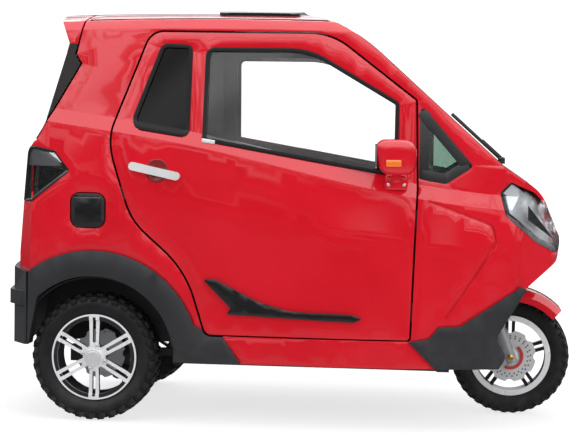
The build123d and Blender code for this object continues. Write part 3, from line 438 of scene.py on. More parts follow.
@dataclass(frozen=True)
class AlloyFace:
    """Wheel finish: machined silver on the outer face, black paint in the pockets."""

    name: str
    face_y: float
    silver: Colour = (0.90, 0.91, 0.93)
    black: Colour = (0.02, 0.02, 0.022)
    metallic: float = 0.25
    roughness: float = 0.27
    unevenness: float = 0.05
    ring_scale: float = 1400.0
    ring_height: float = 0.00002
    face_edge: Span = (0.0014, 0.0006)
    soft: float = 0.0008
    hub: Span = (0.0, 0.0)
    band: Span = (0.0, 0.0)
    spokes: int = 6
    spoke_half: Span = (0.0062, 0.0205)
    slot_end: float = 0.158

    def build(self, shared: SharedEffects) -> Material:
        """Make the material.

        Args:
            shared: the node groups.

        Returns:
            The finished material.
        """
        kit, material, shader = NodeKit.material(self.name)
        axes = kit.axes(kit.place())
        start, end = (self.face_y - depth for depth in self.face_edge)
        mask = kit.spread(kit.math("ABSOLUTE", axes["Y"]), start, end, 0.0, 1.0)
        if self.band[1]:
            mask = kit.math("MULTIPLY", mask, self.build_band(kit, axes))
        kit.link(kit.mix(mask, self.black, self.silver), shader.inputs["Base Color"])
        kit.link(kit.math("MULTIPLY", mask, self.metallic), shader.inputs["Metallic"])
        kit.grain(shared.surface, shader, self.ring_scale, self.roughness, self.unevenness, self.ring_height)
        return material

    def build_band(self, kit: NodeKit, axes: bpy.types.NodeOutputs) -> Socket:
        """Mask of the flange: black between the spokes' ends, silver on them and on the outer ring.

        Args:
            kit: the material's nodes.
            axes: the place on the wheel, as X, Y and Z.

        Returns:
            One where the flange is silver, zero where it is black.
        """
        soft = self.soft
        ahead = kit.math("SUBTRACT", axes["X"], self.hub[0])
        above = kit.math("SUBTRACT", axes["Z"], self.hub[1])
        squares = [kit.math("POWER", offset, 2.0) for offset in (ahead, above)]
        reach = kit.math("SQRT", kit.math("ADD", *squares))
        inside = kit.spread(reach, self.band[0], self.band[0] + soft, 1.0, 0.0)
        beyond = kit.spread(reach, self.band[1] - soft, self.band[1], 0.0, 1.0)
        turns = kit.math("MULTIPLY", kit.math("ARCTAN2", above, ahead), self.spokes / math.tau)
        offset = kit.math("SUBTRACT", kit.math("FRACT", turns), 0.5)
        angle = kit.math("MULTIPLY", offset, math.tau / self.spokes)
        lateral = kit.math("ABSOLUTE", kit.math("MULTIPLY", reach, kit.math("SINE", angle)))
        slot, edge = self.spoke_half
        solid = kit.spread(reach, self.slot_end - soft, self.slot_end, 0.0, 1.0)
        past_slot = kit.math("MAXIMUM", kit.spread(lateral, slot - soft, slot, 0.0, 1.0), solid)
        bar = kit.math("MULTIPLY", kit.spread(lateral, edge, edge + soft, 1.0, 0.0), past_slot)
        return kit.math("MAXIMUM", kit.math("MAXIMUM", inside, beyond), bar)


Paint = Finish | Glass | AlloyFace


class FinishBook:
    """All finishes of the vehicle, made once each."""

    RED = Finish("body_paint_red", (0.64, 0.006, 0.018), 0.34, 0.03, coat=1.0, coat_roughness=0.02,
                 specular=0.08, grain=Grain.ORANGE_PEEL, dust=0.05, dust_top=0.4, tint=(0.60, 0.005, 0.015))
    # painted shade: a darker red for the dished handle recesses, standing in for the shade in them
    RED_SHADE = Finish("body_paint_recess", (0.20, 0.001, 0.003), 0.38, 0.03, coat=0.6,
                       grain=Grain.ORANGE_PEEL, dust=0.0)
    CLADDING = Finish("cladding_grey", (0.017, 0.018, 0.021), 0.55, 0.06, grain=Grain.MOULDED, dust=0.10)
    BLACK = Finish("plastic_black", (0.012, 0.012, 0.013), 0.52, 0.06, grain=Grain.MOULDED, dust=0.12)
    GLOSS = Finish("gloss_black", (0.010, 0.010, 0.011), 0.16, 0.03, coat=0.5, dust=0.04)
    SEAL = Finish("rubber_seal", (0.009, 0.009, 0.010), 0.5, 0.08, specular=0.2, grain=Grain.RUBBER,
                  dust=0.03)
    TYRE = Finish("tyre_rubber", (0.006, 0.006, 0.007), 0.62, 0.08, specular=0.25, grain=Grain.RUBBER,
                  dust=0.06, dust_top=0.6, tint=(0.010, 0.010, 0.011), tint_scale=14.0)
    FLOOR = Finish("floor_mat", (0.035, 0.036, 0.038), 0.8, 0.06, grain=Grain.MOULDED, dust=0.12)
    CHASSIS = Finish("chassis_paint", (0.018, 0.018, 0.019), 0.45, 0.1, grain=Grain.CAST, dust=0.25)
    STEEL = Finish("steel_bright", (0.74, 0.75, 0.76), 0.3, 0.08, metallic=0.35, grain=Grain.CAST, dust=0.05)
    FORK = Finish("fork_alloy", (0.34, 0.345, 0.36), 0.34, 0.08, metallic=0.45, grain=Grain.CAST, dust=0.08)
    CHROME = Finish("chrome_bright", (0.90, 0.90, 0.91), 0.10, 0.03, metallic=0.7, dust=0.02)
    HANDLE = Finish("handle_chrome", (0.94, 0.94, 0.95), 0.16, 0.03, metallic=0.3, coat=0.8, dust=0.0)
    REFLECTOR = Finish("lamp_reflector", (0.86, 0.87, 0.89), 0.14, 0.05, metallic=0.5, dust=0.0)
    MIRROR = Finish("mirror_silver", (0.9, 0.9, 0.91), 0.02, 0.0, metallic=1.0, dust=0.0)
    BRASS = Finish("brass_plated", (0.62, 0.40, 0.10), 0.35, 0.08, metallic=1.0, grain=Grain.CAST, dust=0.05)
    RED_IRON = Finish("bracket_red", (0.5, 0.02, 0.012), 0.4, 0.08, coat=0.2, grain=Grain.CAST, dust=0.1)
    VINYL = Finish("seat_vinyl", (0.022, 0.021, 0.022), 0.48, 0.06, grain=Grain.LEATHER, dust=0.0)
    AMBER = Finish("amber_lens", (0.85, 0.18, 0.012), 0.18, 0.03, coat=1.0, dust=0.0, glow=0.08)
    RED_LENS = Finish("red_lens", (0.62, 0.012, 0.012), 0.16, 0.03, coat=1.0, dust=0.0, glow=0.1)
    PALE_LENS = Finish("pale_lens", (0.52, 0.53, 0.56), 0.12, 0.03, coat=1.0, dust=0.0)
    SCREEN = Finish("display_black", (0.006, 0.007, 0.009), 0.1, 0.02, coat=1.0, dust=0.0)
    CLEAR = Glass("glass_clear", (0.86, 0.92, 0.89))
    QUARTER = Glass("glass_quarter", (0.38, 0.50, 0.44))
    TINT = Glass("glass_door", (0.985, 0.985, 0.98))
    PRIVACY = Glass("glass_privacy", (0.012, 0.011, 0.011), index=1.28)
    LENS = Glass("lamp_lens", (0.93, 0.95, 0.96), clear=0.55)
    SMOKE = Glass("lamp_smoke", (0.30, 0.30, 0.31), clear=0.35)
    FRONT_ALLOY = AlloyFace("front_wheel_alloy", 0.0398)
    REAR_ALLOY = AlloyFace("rear_wheel_alloy", 0.507, hub=(-0.745, 0.252), band=(0.1475, 0.1635))

    def __init__(self) -> None:
        """Start with no material made."""
        self.shared = SharedEffects()
        self.made: dict[str, Material] = {}

    def material(self, finish: Paint) -> Material:
        """The material of a finish, made at its first use."""
        if finish.name not in self.made:
            self.made[finish.name] = finish.build(self.shared)
        return self.made[finish.name]

    def paint(self, piece: Object, *finishes: Paint) -> None:
        """Give a piece its materials, one slot for each finish."""
        piece.data.materials.clear()
        for finish in finishes:
            piece.data.materials.append(self.material(finish))


@dataclass(frozen=True)
class SoftBox:
    """One area lamp of the studio: its place, what it aims at, its width and its power."""

    name: str
    place: Point
    aim: Point
    size: float
    power: float


@dataclass
class Studio:
    """Pale floor, soft light and the camera at the photograph's angle."""

    eye: Point = (0.679, -6.848, 1.173)
    yaw: float = 6.19
    pitch: float = 3.19
    roll: float = 0.87
    focal_px: float = 1641.0
    frame_px: tuple[int, int] = (580, 435)
    centre_px: Span = (281.2, 218.1)
    sensor_mm: float = 36.0
    floor_half: float = 14.0
    shadow_share: float = 0.42
    white_level: float = 1.25
    sky_level: float = 0.80
    gloss_gain: float = 2.2
    floor_fade: Span = (1.7, 4.2)
    floor_drop: float = 0.0005
    floor_colour: Colour = (0.93, 0.93, 0.93)
    floor_roughness: float = 0.9
    floor_squeeze: Point = (0.62, 1.0, 1.0)
    streak_scale: Point = (3.0, 3.0, 14.0)
    streak_noise: float = 1.6
    streak_band: Span = (0.3, 0.7)
    streak_swing: float = 0.06
    sky_blue: float = 1.02
    # each stop: height from straight down to straight up, level
    sky_stops: Sequence[Span] = (
        (0.0, 0.25), (0.40, 0.04), (0.49, 0.015), (0.54, 0.06), (0.60, 0.22), (0.78, 1.0))
    boxes: Sequence[SoftBox] = (
        SoftBox("box_top", (0.2, -0.6, 4.6), (0.0, 0.0, 0.6), 4.2, 75.0),
        SoftBox("box_front_right", (4.2, -4.8, 2.6), (0.5, 0.0, 0.7), 3.2, 120.0),
        SoftBox("box_rear_right", (-4.6, -4.2, 2.4), (-0.5, 0.0, 0.7), 2.6, 60.0),
        SoftBox("box_left", (0.0, 5.2, 3.0), (0.0, 0.0, 0.7), 3.4, 90.0),
    )

    def build(self) -> None:
        """Make the floor, the world, the lamps and the camera."""
        self.build_world()
        self.build_floor()
        self.build_lamps()
        self.build_camera()
        bpy.context.scene.view_settings.view_transform = "Standard"

    def build_world(self) -> None:
        """White for the camera and through glass; a soft sky over a darker ground for light and gloss."""
        world = bpy.data.worlds.new("studio_world")
        bpy.context.scene.world = world
        world.use_nodes = True
        kit = NodeKit(world.node_tree)
        world.node_tree.nodes.clear()
        place = kit.add("ShaderNodeTexCoord").outputs["Generated"]
        ramp = kit.add("ShaderNodeValToRGB")
        elements = ramp.color_ramp.elements
        while len(elements) < len(self.sky_stops):
            elements.new(0.5)
        for element, (position, level) in zip(elements, self.sky_stops):
            element.position = position
            element.color = (level, level, level * self.sky_blue, 1.0)
        streak = kit.add("ShaderNodeMapping")
        streak.inputs["Scale"].default_value = self.streak_scale
        kit.link(place, streak.inputs["Vector"])
        noise = kit.noise(streak.outputs[0], self.streak_noise, 0.0)
        wave = kit.spread(noise, *self.streak_band, -self.streak_swing, self.streak_swing)
        height = kit.math("ADD", kit.math("MULTIPLY_ADD", kit.axes(place)["Z"], 0.5, 0.5), wave)
        kit.link(height, ramp.inputs[0])
        soft = kit.add("ShaderNodeBackground")
        kit.link(ramp.outputs[0], soft.inputs["Color"])
        glossy = kit.add("ShaderNodeLightPath").outputs["Is Glossy Ray"]
        kit.link(kit.math("MULTIPLY_ADD", glossy, self.gloss_gain, self.sky_level), soft.inputs["Strength"])
        white = kit.add("ShaderNodeBackground")
        white.inputs["Color"].default_value = (1.0, 1.0, 1.0, 1.0)
        white.inputs["Strength"].default_value = self.white_level
        kit.blend(kit.seen(), soft, white, kit.add("ShaderNodeOutputWorld").inputs["Surface"])

    def build_floor(self) -> None:
        """Pale floor that keeps the shadow and fades into the white round it."""
        bpy.ops.object.select_all(action="DESELECT")
        bpy.ops.mesh.primitive_plane_add(size=2 * self.floor_half, location=(0, 0, -self.floor_drop))
        floor = bpy.context.object
        floor.name = "studio_floor"
        floor.visible_glossy = False
        kit, material, shader = NodeKit.material("floor_pale")
        shader.inputs["Base Color"].default_value = (*self.floor_colour, 1.0)
        shader.inputs["Roughness"].default_value = self.floor_roughness
        squeeze = kit.add("ShaderNodeMapping")
        squeeze.inputs["Scale"].default_value = self.floor_squeeze
        kit.link(kit.place(), squeeze.inputs["Vector"])
        length = kit.add("ShaderNodeVectorMath", operation="LENGTH")
        kit.link(squeeze.outputs[0], length.inputs[0])
        fade = kit.spread(length.outputs["Value"], *self.floor_fade, 1.0 - self.shadow_share, 1.0)
        clear = kit.add("ShaderNodeBsdfTransparent")
        surface = material.node_tree.nodes["Material Output"].inputs["Surface"]
        kit.blend(kit.math("MULTIPLY", fade, kit.seen()), shader, clear, surface)
        floor.data.materials.append(material)

    def build_lamps(self) -> None:
        """Soft boxes above, in front, behind and on the far side."""
        for box in self.boxes:
            lamp = bpy.data.lights.new(box.name, "AREA")
            lamp.size = box.size
            lamp.energy = box.power
            holder = bpy.data.objects.new(box.name, lamp)
            holder.location = box.place
            aim = Vector(box.aim) - Vector(box.place)
            holder.rotation_euler = aim.to_track_quat("-Z", "Y").to_euler()
            holder.visible_camera = False
            holder.visible_transmission = False
            holder.visible_glossy = False
            bpy.context.scene.collection.objects.link(holder)

    def build_camera(self) -> None:
        """Camera at the photograph's place, turned, tilted and framed as it is there."""
        turn, tip, lean = (math.radians(a) for a in (self.yaw, self.pitch, self.roll))
        ahead = Vector((-math.sin(turn) * math.cos(tip), math.cos(turn) * math.cos(tip), -math.sin(tip)))
        right = Vector((math.cos(turn), math.sin(turn), 0.0))
        up = right.cross(ahead)
        axis_x = right * math.cos(lean) + up * math.sin(lean)
        axis_y = up * math.cos(lean) - right * math.sin(lean)
        camera = bpy.data.cameras.new("photo_camera")
        width, height = self.frame_px
        camera.sensor_width = self.sensor_mm
        camera.lens = self.sensor_mm * self.focal_px / width
        camera.shift_x = (width / 2 - self.centre_px[0]) / width
        camera.shift_y = (self.centre_px[1] - height / 2) / width
        holder = bpy.data.objects.new("photo_camera", camera)
        bpy.context.scene.collection.objects.link(holder)
        frame = Matrix((axis_x, axis_y, -ahead)).transposed().to_4x4()
        frame.translation = Vector(self.eye)
        holder.matrix_world = frame
        bpy.context.scene.camera = holder


def select_all() -> None:
    """Select all of the piece in edit mode."""
    bpy.ops.mesh.select_all(action="SELECT")


def weld() -> None:
    """Merge the selected vertices that lie on one another."""
    bpy.ops.mesh.remove_doubles(threshold=WELD_GAP)


def face_out() -> None:
    """Turn the selected faces outward."""
    bpy.ops.mesh.normals_make_consistent(inside=False)


class Workbench:
    """Modelling steps by operators; a piece sits at the origin with its place in its mesh."""

    @staticmethod
    def activate(*pieces: Object) -> None:
        """Select only these objects and make the first one active."""
        bpy.ops.object.select_all(action="DESELECT")
        for piece in pieces:
            piece.select_set(True)
        bpy.context.view_layer.objects.active = pieces[0]

    def edit(self, piece: Object, *steps: Callable[[], object], everything: bool = True) -> None:
        """Run operators in edit mode on a piece.

        Args:
            piece: the mesh object.
            steps: calls that run one operator each.
            everything: whether all of it is selected first.
        """
        self.activate(piece)
        bpy.ops.object.mode_set(mode="EDIT")
        bpy.ops.mesh.select_mode(type="FACE")
        if everything:
            select_all()
        for step in steps:
            step()
        bpy.ops.object.mode_set(mode="OBJECT")

    def outline(self, name: str, points: Sequence[Point], filled: bool = True) -> Object:
        """A circle primitive whose corners are drawn to an outline.

        Args:
            name: the piece's name.
            points: corners in order round the outline.
            filled: whether the outline gets a face.

        Returns:
            The new piece.
        """
        bpy.ops.object.select_all(action="DESELECT")
        bpy.ops.mesh.primitive_circle_add(vertices=len(points), fill_type="NGON" if filled else "NOTHING")
        piece = bpy.context.object
        piece.name = name
        for vertex, point in zip(piece.data.vertices, points):
            vertex.co = point
        return piece

    def lathe(self, name: str, profile: Profile, centre: Point,
              axis: str = "Y", steps: int = 72) -> Object:
        """Spin a closed profile about an axis.

        Args:
            name: the piece's name.
            profile: rows of radius and offset along the axis.
            centre: a point on the axis.
            axis: X, Y or Z.
            steps: facets round the axis.

        Returns:
            The turned piece.
        """
        along = Vector([float(axis == letter) for letter in "XYZ"])
        across = Vector((0, 0, 1)) if axis != "Z" else Vector((1, 0, 0))
        points = [Vector(centre) + across * radius + along * offset for radius, offset in profile]
        piece = self.outline(name, points, filled=False)
        self.edit(
            piece,
            lambda: bpy.ops.mesh.select_mode(type="VERT"),
            select_all,
            lambda: bpy.ops.mesh.spin(steps=steps, angle=2 * math.pi, center=centre, axis=along),
            select_all,
            weld,
            face_out,
        )
        return piece

    def block(self, name: str, centre: Point, size: Point, bevel: float, segments: int = 2) -> Object:
        """A cube primitive drawn to its size, bevelled all round and set in place.

        Args:
            name: the piece's name.
            centre: its middle.
            size: its lengths along X, Y and Z.
            bevel: width of the edge rounding.
            segments: steps in the rounding.

        Returns:
            The new piece.
        """
        bpy.ops.object.select_all(action="DESELECT")
        bpy.ops.mesh.primitive_cube_add(size=1.0)
        piece = bpy.context.object
        piece.name = name
        self.edit(
            piece,
            lambda: bpy.ops.transform.resize(value=size),
            lambda: bpy.ops.mesh.bevel(offset=bevel, segments=segments, affect="EDGES"),
            select_all,
            lambda: bpy.ops.transform.translate(value=centre),
        )
        return piece

    def modify(self, piece: Object, kind: str, **values: object) -> None:
        """Add a modifier with its settings and apply it."""
        modifier = piece.modifiers.new(kind.lower(), kind)
        for label, value in values.items():
            setattr(modifier, label, value)
        self.activate(piece)
        bpy.ops.object.modifier_apply(modifier=modifier.name)

    @staticmethod
    def twin(piece: Object, name: str, matrix: Matrix) -> Object:
        """A copy with its own mesh, moved by a matrix.

        Args:
            piece: the piece to copy.
            name: the copy's name.
            matrix: where the copy goes; a mirror keeps its faces outward.

        Returns:
            The copy.
        """
        copy = piece.copy()
        copy.data = piece.data.copy()
        copy.name = name
        copy.data.transform(matrix)
        if matrix.determinant() < 0:
            copy.data.flip_normals()
        bpy.context.scene.collection.objects.link(copy)
        return copy

    def join(self, name: str, pieces: Sequence[Object]) -> Object:
        """Join pieces into the first one and rename it."""
        self.activate(*pieces)
        bpy.ops.object.join()
        pieces[0].name = name
        return pieces[0]

    def polar(self, piece: Object, count: int, centre: Point, axis: str = "Y") -> Object:
        """Repeat a piece round an axis and join the copies.

        Args:
            piece: the piece modelled once.
            count: how many there are in all.
            centre: a point on the axis.
            axis: X, Y or Z.

        Returns:
            The joined piece.
        """
        move = Matrix.Translation(centre)
        copies = [piece]
        for index in range(1, count):
            turn = Matrix.Rotation(2 * math.pi * index / count, 4, axis)
            copies.append(self.twin(piece, f"{piece.name}_{index}", move @ turn @ move.inverted()))
        return self.join(piece.name, copies)

    @staticmethod
    def round_edges(node: Object, width: float = 0.0028, sharp: float = 9.0) -> None:
        """Round a CAD node's edges for the render by modifiers.

        Args:
            node: the node.
            width: width of the rounding.
            sharp: least angle of an edge that is rounded, in degrees.
        """
        seam = node.modifiers.new("weld", "WELD")
        seam.merge_threshold = WELD_GAP
        bevel = node.modifiers.new("edges", "BEVEL")
        bevel.width = width
        bevel.segments = 2
        bevel.limit_method = "ANGLE"
        bevel.angle_limit = math.radians(sharp)
        bevel.harden_normals = True

    def smooth(self, piece: Object, degrees: float = 35.0) -> None:
        """Shade smooth, with edges sharper than the angle kept."""
        self.activate(piece)
        bpy.ops.object.shade_smooth_by_angle(angle=math.radians(degrees))

    def plain_copy(self, node: Object, name: str) -> Object:
        """A free copy of a CAD node, without its parent, modifiers and keys.

        Args:
            node: the node.
            name: the copy's name.

        Returns:
            The copy.
        """
        piece = self.twin(node, name, Matrix.Identity(4))
        piece.parent = None
        piece.modifiers.clear()
        for key in [k for k in piece.keys() if k.startswith("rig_")]:
            del piece[key]
        return piece

    def skin(self, name: str, node: Object, keep: FaceTest, merge: bool = True) -> Object:
        """Copy of some faces of a CAD node.

        Args:
            name: the piece's name.
            node: the CAD node.
            keep: says from a face's middle and normal whether it stays.
            merge: whether each patch becomes one face.

        Returns:
            The new piece.
        """
        piece = self.plain_copy(node, name)
        self.edit(piece, weld, lambda: bpy.ops.mesh.select_all(action="DESELECT"))
        for polygon in piece.data.polygons:
            polygon.select = not keep(polygon.center, polygon.normal)
        self.edit(piece, lambda: bpy.ops.mesh.delete(type="FACE"), everything=False)
        if merge:
            self.edit(piece, bpy.ops.mesh.dissolve_faces)
        return piece

    def border(self, name: str, node: Object, keep: FaceTest, width: float, proud: float,
               bevel: float) -> Object:
        """Raised frames along the edges of some faces of a CAD node.

        Args:
            name: the piece's name.
            node: the CAD node.
            keep: says from a face's middle and normal whether it counts.
            width: the frame's width.
            proud: how far it stands up.
            bevel: rounding of its edges.

        Returns:
            The frames as one piece.
        """
        piece = self.skin(name, node, keep)
        self.edit(
            piece,
            lambda: bpy.ops.mesh.inset(thickness=width, use_even_offset=True),
            lambda: bpy.ops.mesh.delete(type="FACE"),
        )
        self.modify(piece, "SOLIDIFY", thickness=proud, offset=1.0)
        self.modify(piece, "BEVEL", width=bevel, segments=2, limit_method="ANGLE")
        self.smooth(piece)
        return piece

    def cut(self, piece: Object, *cuts: Cut, filled: bool = False) -> None:
        """Clear what lies beyond planes.

        Args:
            piece: the piece.
            cuts: planes, each by a point and a normal towards the side that is cleared.
            filled: whether a cut is closed by a face.
        """
        for place, away in cuts:
            self.edit(piece, lambda: bpy.ops.mesh.bisect(plane_co=place, plane_no=away, clear_outer=True,
                                                         use_fill=filled))


def surface_frame(node: Object, origin: Point, direction: Point) -> Matrix:
    """Where a ray meets a CAD node, with Z along the surface's normal.

    Args:
        node: the node.
        origin: the ray's start.
        direction: the ray's direction.

    Returns:
        The place on the node's surface.
    """
    hit, place, normal, _ = node.ray_cast(Vector(origin), Vector(direction))
    if not hit:
        raise ValueError(f"no surface of {node.name} from {origin}")
    return Matrix.Translation(place) @ normal.to_track_quat("Z", "Y").to_matrix().to_4x4()


def from_ahead(node: Object, y: float, z: float) -> Vector:
    """The place on a CAD node met from straight ahead."""
    return surface_frame(node, (AHEAD_X, y, z), (-1, 0, 0)).translation


def from_side(node: Object, side: Side, x: float, z: float) -> Matrix:
    """The place on a CAD node met from one side, with Z along the surface's normal."""
    return surface_frame(node, (x, side.value, z), (0, -side.value, 0))


def faces_aside(middle: Vector, normal: Vector, least: float = 0.6) -> bool:
    """Whether a face looks out to its own side of the vehicle."""
    return normal.y * middle.y > 0 and abs(normal.y) > least


@dataclass
class Maker:
    """What every sub-assembly works with."""

    frame: dict
    book: FinishBook
    bench: Workbench = field(default_factory=Workbench)

    def node(self, name: str) -> Object:
        """A CAD node by name."""
        return self.frame["nodes"][name]

    def build(self) -> None:
        """Model and dress the sub-assembly."""
        raise NotImplementedError

    def settle(self, piece: Object, body: str, slot: str, *finishes: Paint, smooth: float = 0.0) -> None:
        """Paint a finished piece and let it ride on a body.

        Args:
            piece: the piece.
            body: the CAD body that it moves with.
            slot: the record's material slot; not used.
            finishes: its finishes, one for each material slot.
            smooth: angle up to which its edges are shaded smooth, in degrees; zero leaves its shading.
        """
        if smooth:
            self.bench.smooth(piece, smooth)
        self.book.paint(piece, *finishes)
        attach(piece, body)
        LOG.info("piece %s rides on %s", piece.name, body)


@dataclass(frozen=True)
class LugRow:
    """A row of lugs round a tyre.

    Its place across is a share of the half width, its yaw is in degrees and its shift is a share of the
    pitch.
    """

    across: float
    length: float
    width: float
    yaw: float
    shift: float


FRONT_LUGS = (
    LugRow(-0.72, 0.024, 0.026, 35.0, 0.0), LugRow(0.72, 0.024, 0.026, -35.0, 0.5),
    LugRow(-0.23, 0.022, 0.018, 35.0, 0.5), LugRow(0.23, 0.022, 0.018, -35.0, 0.0),
)
REAR_LUGS = (
    LugRow(-0.84, 0.026, 0.030, 8.0, 0.0), LugRow(0.84, 0.026, 0.030, -8.0, 0.5),
    LugRow(-0.40, 0.027, 0.032, -14.0, 0.5), LugRow(0.40, 0.027, 0.032, 14.0, 0.0),
    LugRow(0.0, 0.022, 0.020, 25.0, 0.25),
)


@dataclass
class RoadWheel(Maker):
    """Tyre with lugs, wheel nuts and hub cap of one wheel."""

    tyre_node: str = "front_tyre"
    rim_node: str = "front_rim"
    body: str = "front_wheel"
    side: Side = Side.RIGHT
    alloy: AlloyFace = FinishBook.FRONT_ALLOY
    bead_drop: float = 0.076
    tyre_steps: int = 96
    lug_count: int = 38
    lug_rows: Sequence[LugRow] = FRONT_LUGS
    lug_depth: float = 0.008
    lug_root: float = 0.010
    lug_bevel: float = 0.0022
    crown_start: float = 0.42
    crown_span: float = 0.5
    crown_drop: float = 0.011
    tilt_start: float = 0.45
    tilt_rate: float = -34.0
    disc_y: Span = (0.0445, 0.0515)
    disc_reach: Span = (0.050, 0.110)
    face_y: float = 0.0
    nut_circle: float = 0.0
    nut_count: int = 4
    nut_turn: float = math.radians(18.4)
    pocket_radius: float = 0.0118
    pocket_bore: float = 0.0076
    pocket_proud: float = 0.0008
    cap_radius: float = 0.034
    cap_height: float = 0.005
    cap_bore: float = 0.0008
    cap_y: float = 0.0

    # each row: radius past the bead, share of the half width
    WALL: ClassVar[Profile] = ((-0.006, 0.66), (0.006, 0.74), (0.018, 0.90), (0.034, 0.985), (0.048, 0.975))
    # each row: radius past the base of the lugs, share of the half width
    TREAD: ClassVar[Profile] = ((-0.012, 0.90), (-0.003, 0.72), (0.0, 0.45))
    # each row: radius, offset outward
    NUT: ClassVar[Profile] = ((0.0075, 0.0), (0.0085, 0.0008), (0.0085, 0.010), (0.0065, 0.013),
                              (0.003, 0.0145), (0.003, 0.0))
    # each row: share of the cap's radius, share of its height
    CAP: ClassVar[Profile] = ((1.0, 0.0), (1.0, 0.5), (0.95, 0.8), (0.72, 0.84), (0.68, 1.0))

    def build(self) -> None:
        """Model and dress the wheel."""
        low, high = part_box(self.tyre_node)
        self.centre = (low + high) / 2
        self.radius = (high.x - low.x) / 2
        self.half = (high.y - low.y) / 2
        self.build_tyre()
        self.dress_rim()
        if self.nut_circle:
            self.build_nuts()

    def dress_rim(self) -> None:
        """Machined rim with a bright brake disc."""
        rim = self.node(self.rim_node)
        self.book.paint(rim, self.alloy, FinishBook.STEEL)
        low, high = self.disc_y
        inner, outer = self.disc_reach
        for polygon in rim.data.polygons:
            reach = math.hypot(polygon.center.x - self.centre.x, polygon.center.z - self.centre.z)
            polygon.material_index = int(low < abs(polygon.center.y) < high and inner < reach < outer)

    def build_tyre(self) -> None:
        """Carcass spun from its section, with rows of lugs copied round it."""
        bead = self.radius - self.bead_drop
        base = self.radius - self.lug_depth
        half = [(bead + past, share * self.half) for past, share in self.WALL]
        half += [(base + past, share * self.half) for past, share in self.TREAD]
        section = [(radius, -across) for radius, across in half] + half[::-1]
        carcass = self.bench.lathe(f"{self.tyre_node}_carcass", section, self.centre, steps=self.tyre_steps)
        rows = [self.build_row(index, row) for index, row in enumerate(self.lug_rows)]
        tyre = self.bench.join(f"{self.tyre_node}_dressed", [carcass, *rows])
        self.settle(tyre, self.body, "tyre_rubber", FinishBook.TYRE, smooth=40.0)
        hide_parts(self.tyre_node)

    def build_row(self, index: int, row: LugRow) -> Object:
        """One row of lugs round the tyre.

        Args:
            index: the row's number, for its name.
            row: the row's sizes.

        Returns:
            The row as one piece.
        """
        share = abs(row.across)
        crown = self.crown_drop * max(0.0, share - self.crown_start) / self.crown_span
        tilt = math.copysign(math.radians(self.tilt_rate * max(0.0, share - self.tilt_start)), -row.across)
        height = self.lug_depth + self.lug_root
        size = (row.length, row.width, height)
        lug = self.bench.block(f"lug_{index}", ORIGIN, size, self.lug_bevel, segments=1)
        place = Matrix.Translation((0, row.across * self.half, self.radius - crown - height / 2))
        turn = Matrix.Rotation(2 * math.pi * row.shift / self.lug_count, 4, "Y")
        lean = Matrix.Rotation(tilt, 4, "X") @ Matrix.Rotation(math.radians(row.yaw), 4, "Z")
        lug.data.transform(Matrix.Translation(self.centre) @ turn @ place @ lean)
        return self.bench.polar(lug, self.lug_count, self.centre)

    def turned(self, name: str, profile: Profile, centre: Point, steps: int) -> Object:
        """A lathed piece whose profile is offset outward from the vehicle."""
        return self.bench.lathe(name, [(r, self.side.value * y) for r, y in profile], centre, steps=steps)

    def ring_of(self, piece: Object, hub: Point) -> Object:
        """Copies of a piece on the circle of the nuts.

        Args:
            piece: the piece modelled at the origin.
            hub: the circle's middle.

        Returns:
            The copies as one piece.
        """
        lift = Matrix.Translation((0, 0, self.nut_circle))
        piece.data.transform(Matrix.Translation(hub) @ Matrix.Rotation(self.nut_turn, 4, "Y") @ lift)
        return self.bench.polar(piece, self.nut_count, hub)

    def build_nuts(self) -> None:
        """Hexagon nuts in dark pockets on the hub face and a flat cap between them."""
        hub, middle = ((self.centre.x, self.side.value * y, self.centre.z) for y in (self.face_y, self.cap_y))
        nuts = self.ring_of(self.turned("wheel_nut", self.NUT, ORIGIN, steps=6), hub)
        rows = [(share * self.cap_radius, rise * self.cap_height) for share, rise in self.CAP]
        rows += [(self.cap_bore, self.cap_height), (self.cap_bore, 0.0)]
        cap = self.turned("hub_cap", rows, middle, steps=40)
        piece = self.bench.join(f"{self.body}_nuts", [nuts, cap])
        self.settle(piece, self.body, "bright_chrome", FinishBook.STEEL, smooth=30.0)
        outer, inner, proud = self.pocket_radius, self.pocket_bore, self.pocket_proud
        ring = ((outer, -proud), (outer, proud), (inner, proud), (inner, -proud))
        pockets = self.ring_of(self.turned("nut_pocket", ring, ORIGIN, steps=24), hub)
        pockets.name = f"{self.body}_pockets"
        self.settle(pockets, self.body, "liner_black", FinishBook.BLACK, smooth=30.0)


@dataclass
class PaneSeals(Maker):
    """Rubber frames round the panes, read from the glass itself."""

    # each frame: width, how far it stands up, rounding of its edges
    seal: FrameSize = (0.015, 0.011, 0.003)
    quarter: FrameSize = (0.038, 0.003, 0.001)
    screen: FrameSize = (0.032, 0.002, 0.0007)
    pane_facing: float = 0.7
    privacy_x: float = -0.345

    def build(self) -> None:
        """Frame the door panes, the quarter lights, the windscreen and the tailgate's glass."""
        for side in Side:
            glass = self.node(f"door_glass_{side.word}")
            self.tint_rear_pane(glass)
            seal = self.bench.border(f"window_seal_{side.word}", glass,
                                     lambda c, n: n.y * side.value > self.pane_facing, *self.seal)
            self.settle(seal, side.door, "liner_black", FinishBook.SEAL)
        quarter = self.bench.border("quarter_light_frame", self.node("front_quarter_lights"), faces_aside,
                                    *self.quarter)
        self.settle(quarter, "body", "liner_black", FinishBook.BLACK)
        # each row: pane, body, test of its outer faces
        panes = (("windscreen", "body", lambda c, n: n.z > 0.4 and n.x > 0.2),
                 ("tailgate_glass", "gate", lambda c, n: n.x < -0.5))
        for name, body, outer in panes:
            border = self.bench.border(f"{name}_border", self.node(name), outer, *self.screen)
            self.settle(border, body, "black_gloss", FinishBook.GLOSS)

    def tint_rear_pane(self, glass: Object) -> None:
        """Give the small rear pane of a door the privacy tint."""
        self.book.paint(glass, FinishBook.TINT, FinishBook.PRIVACY)
        for polygon in glass.data.polygons:
            polygon.material_index = int(polygon.center.x < self.privacy_x)


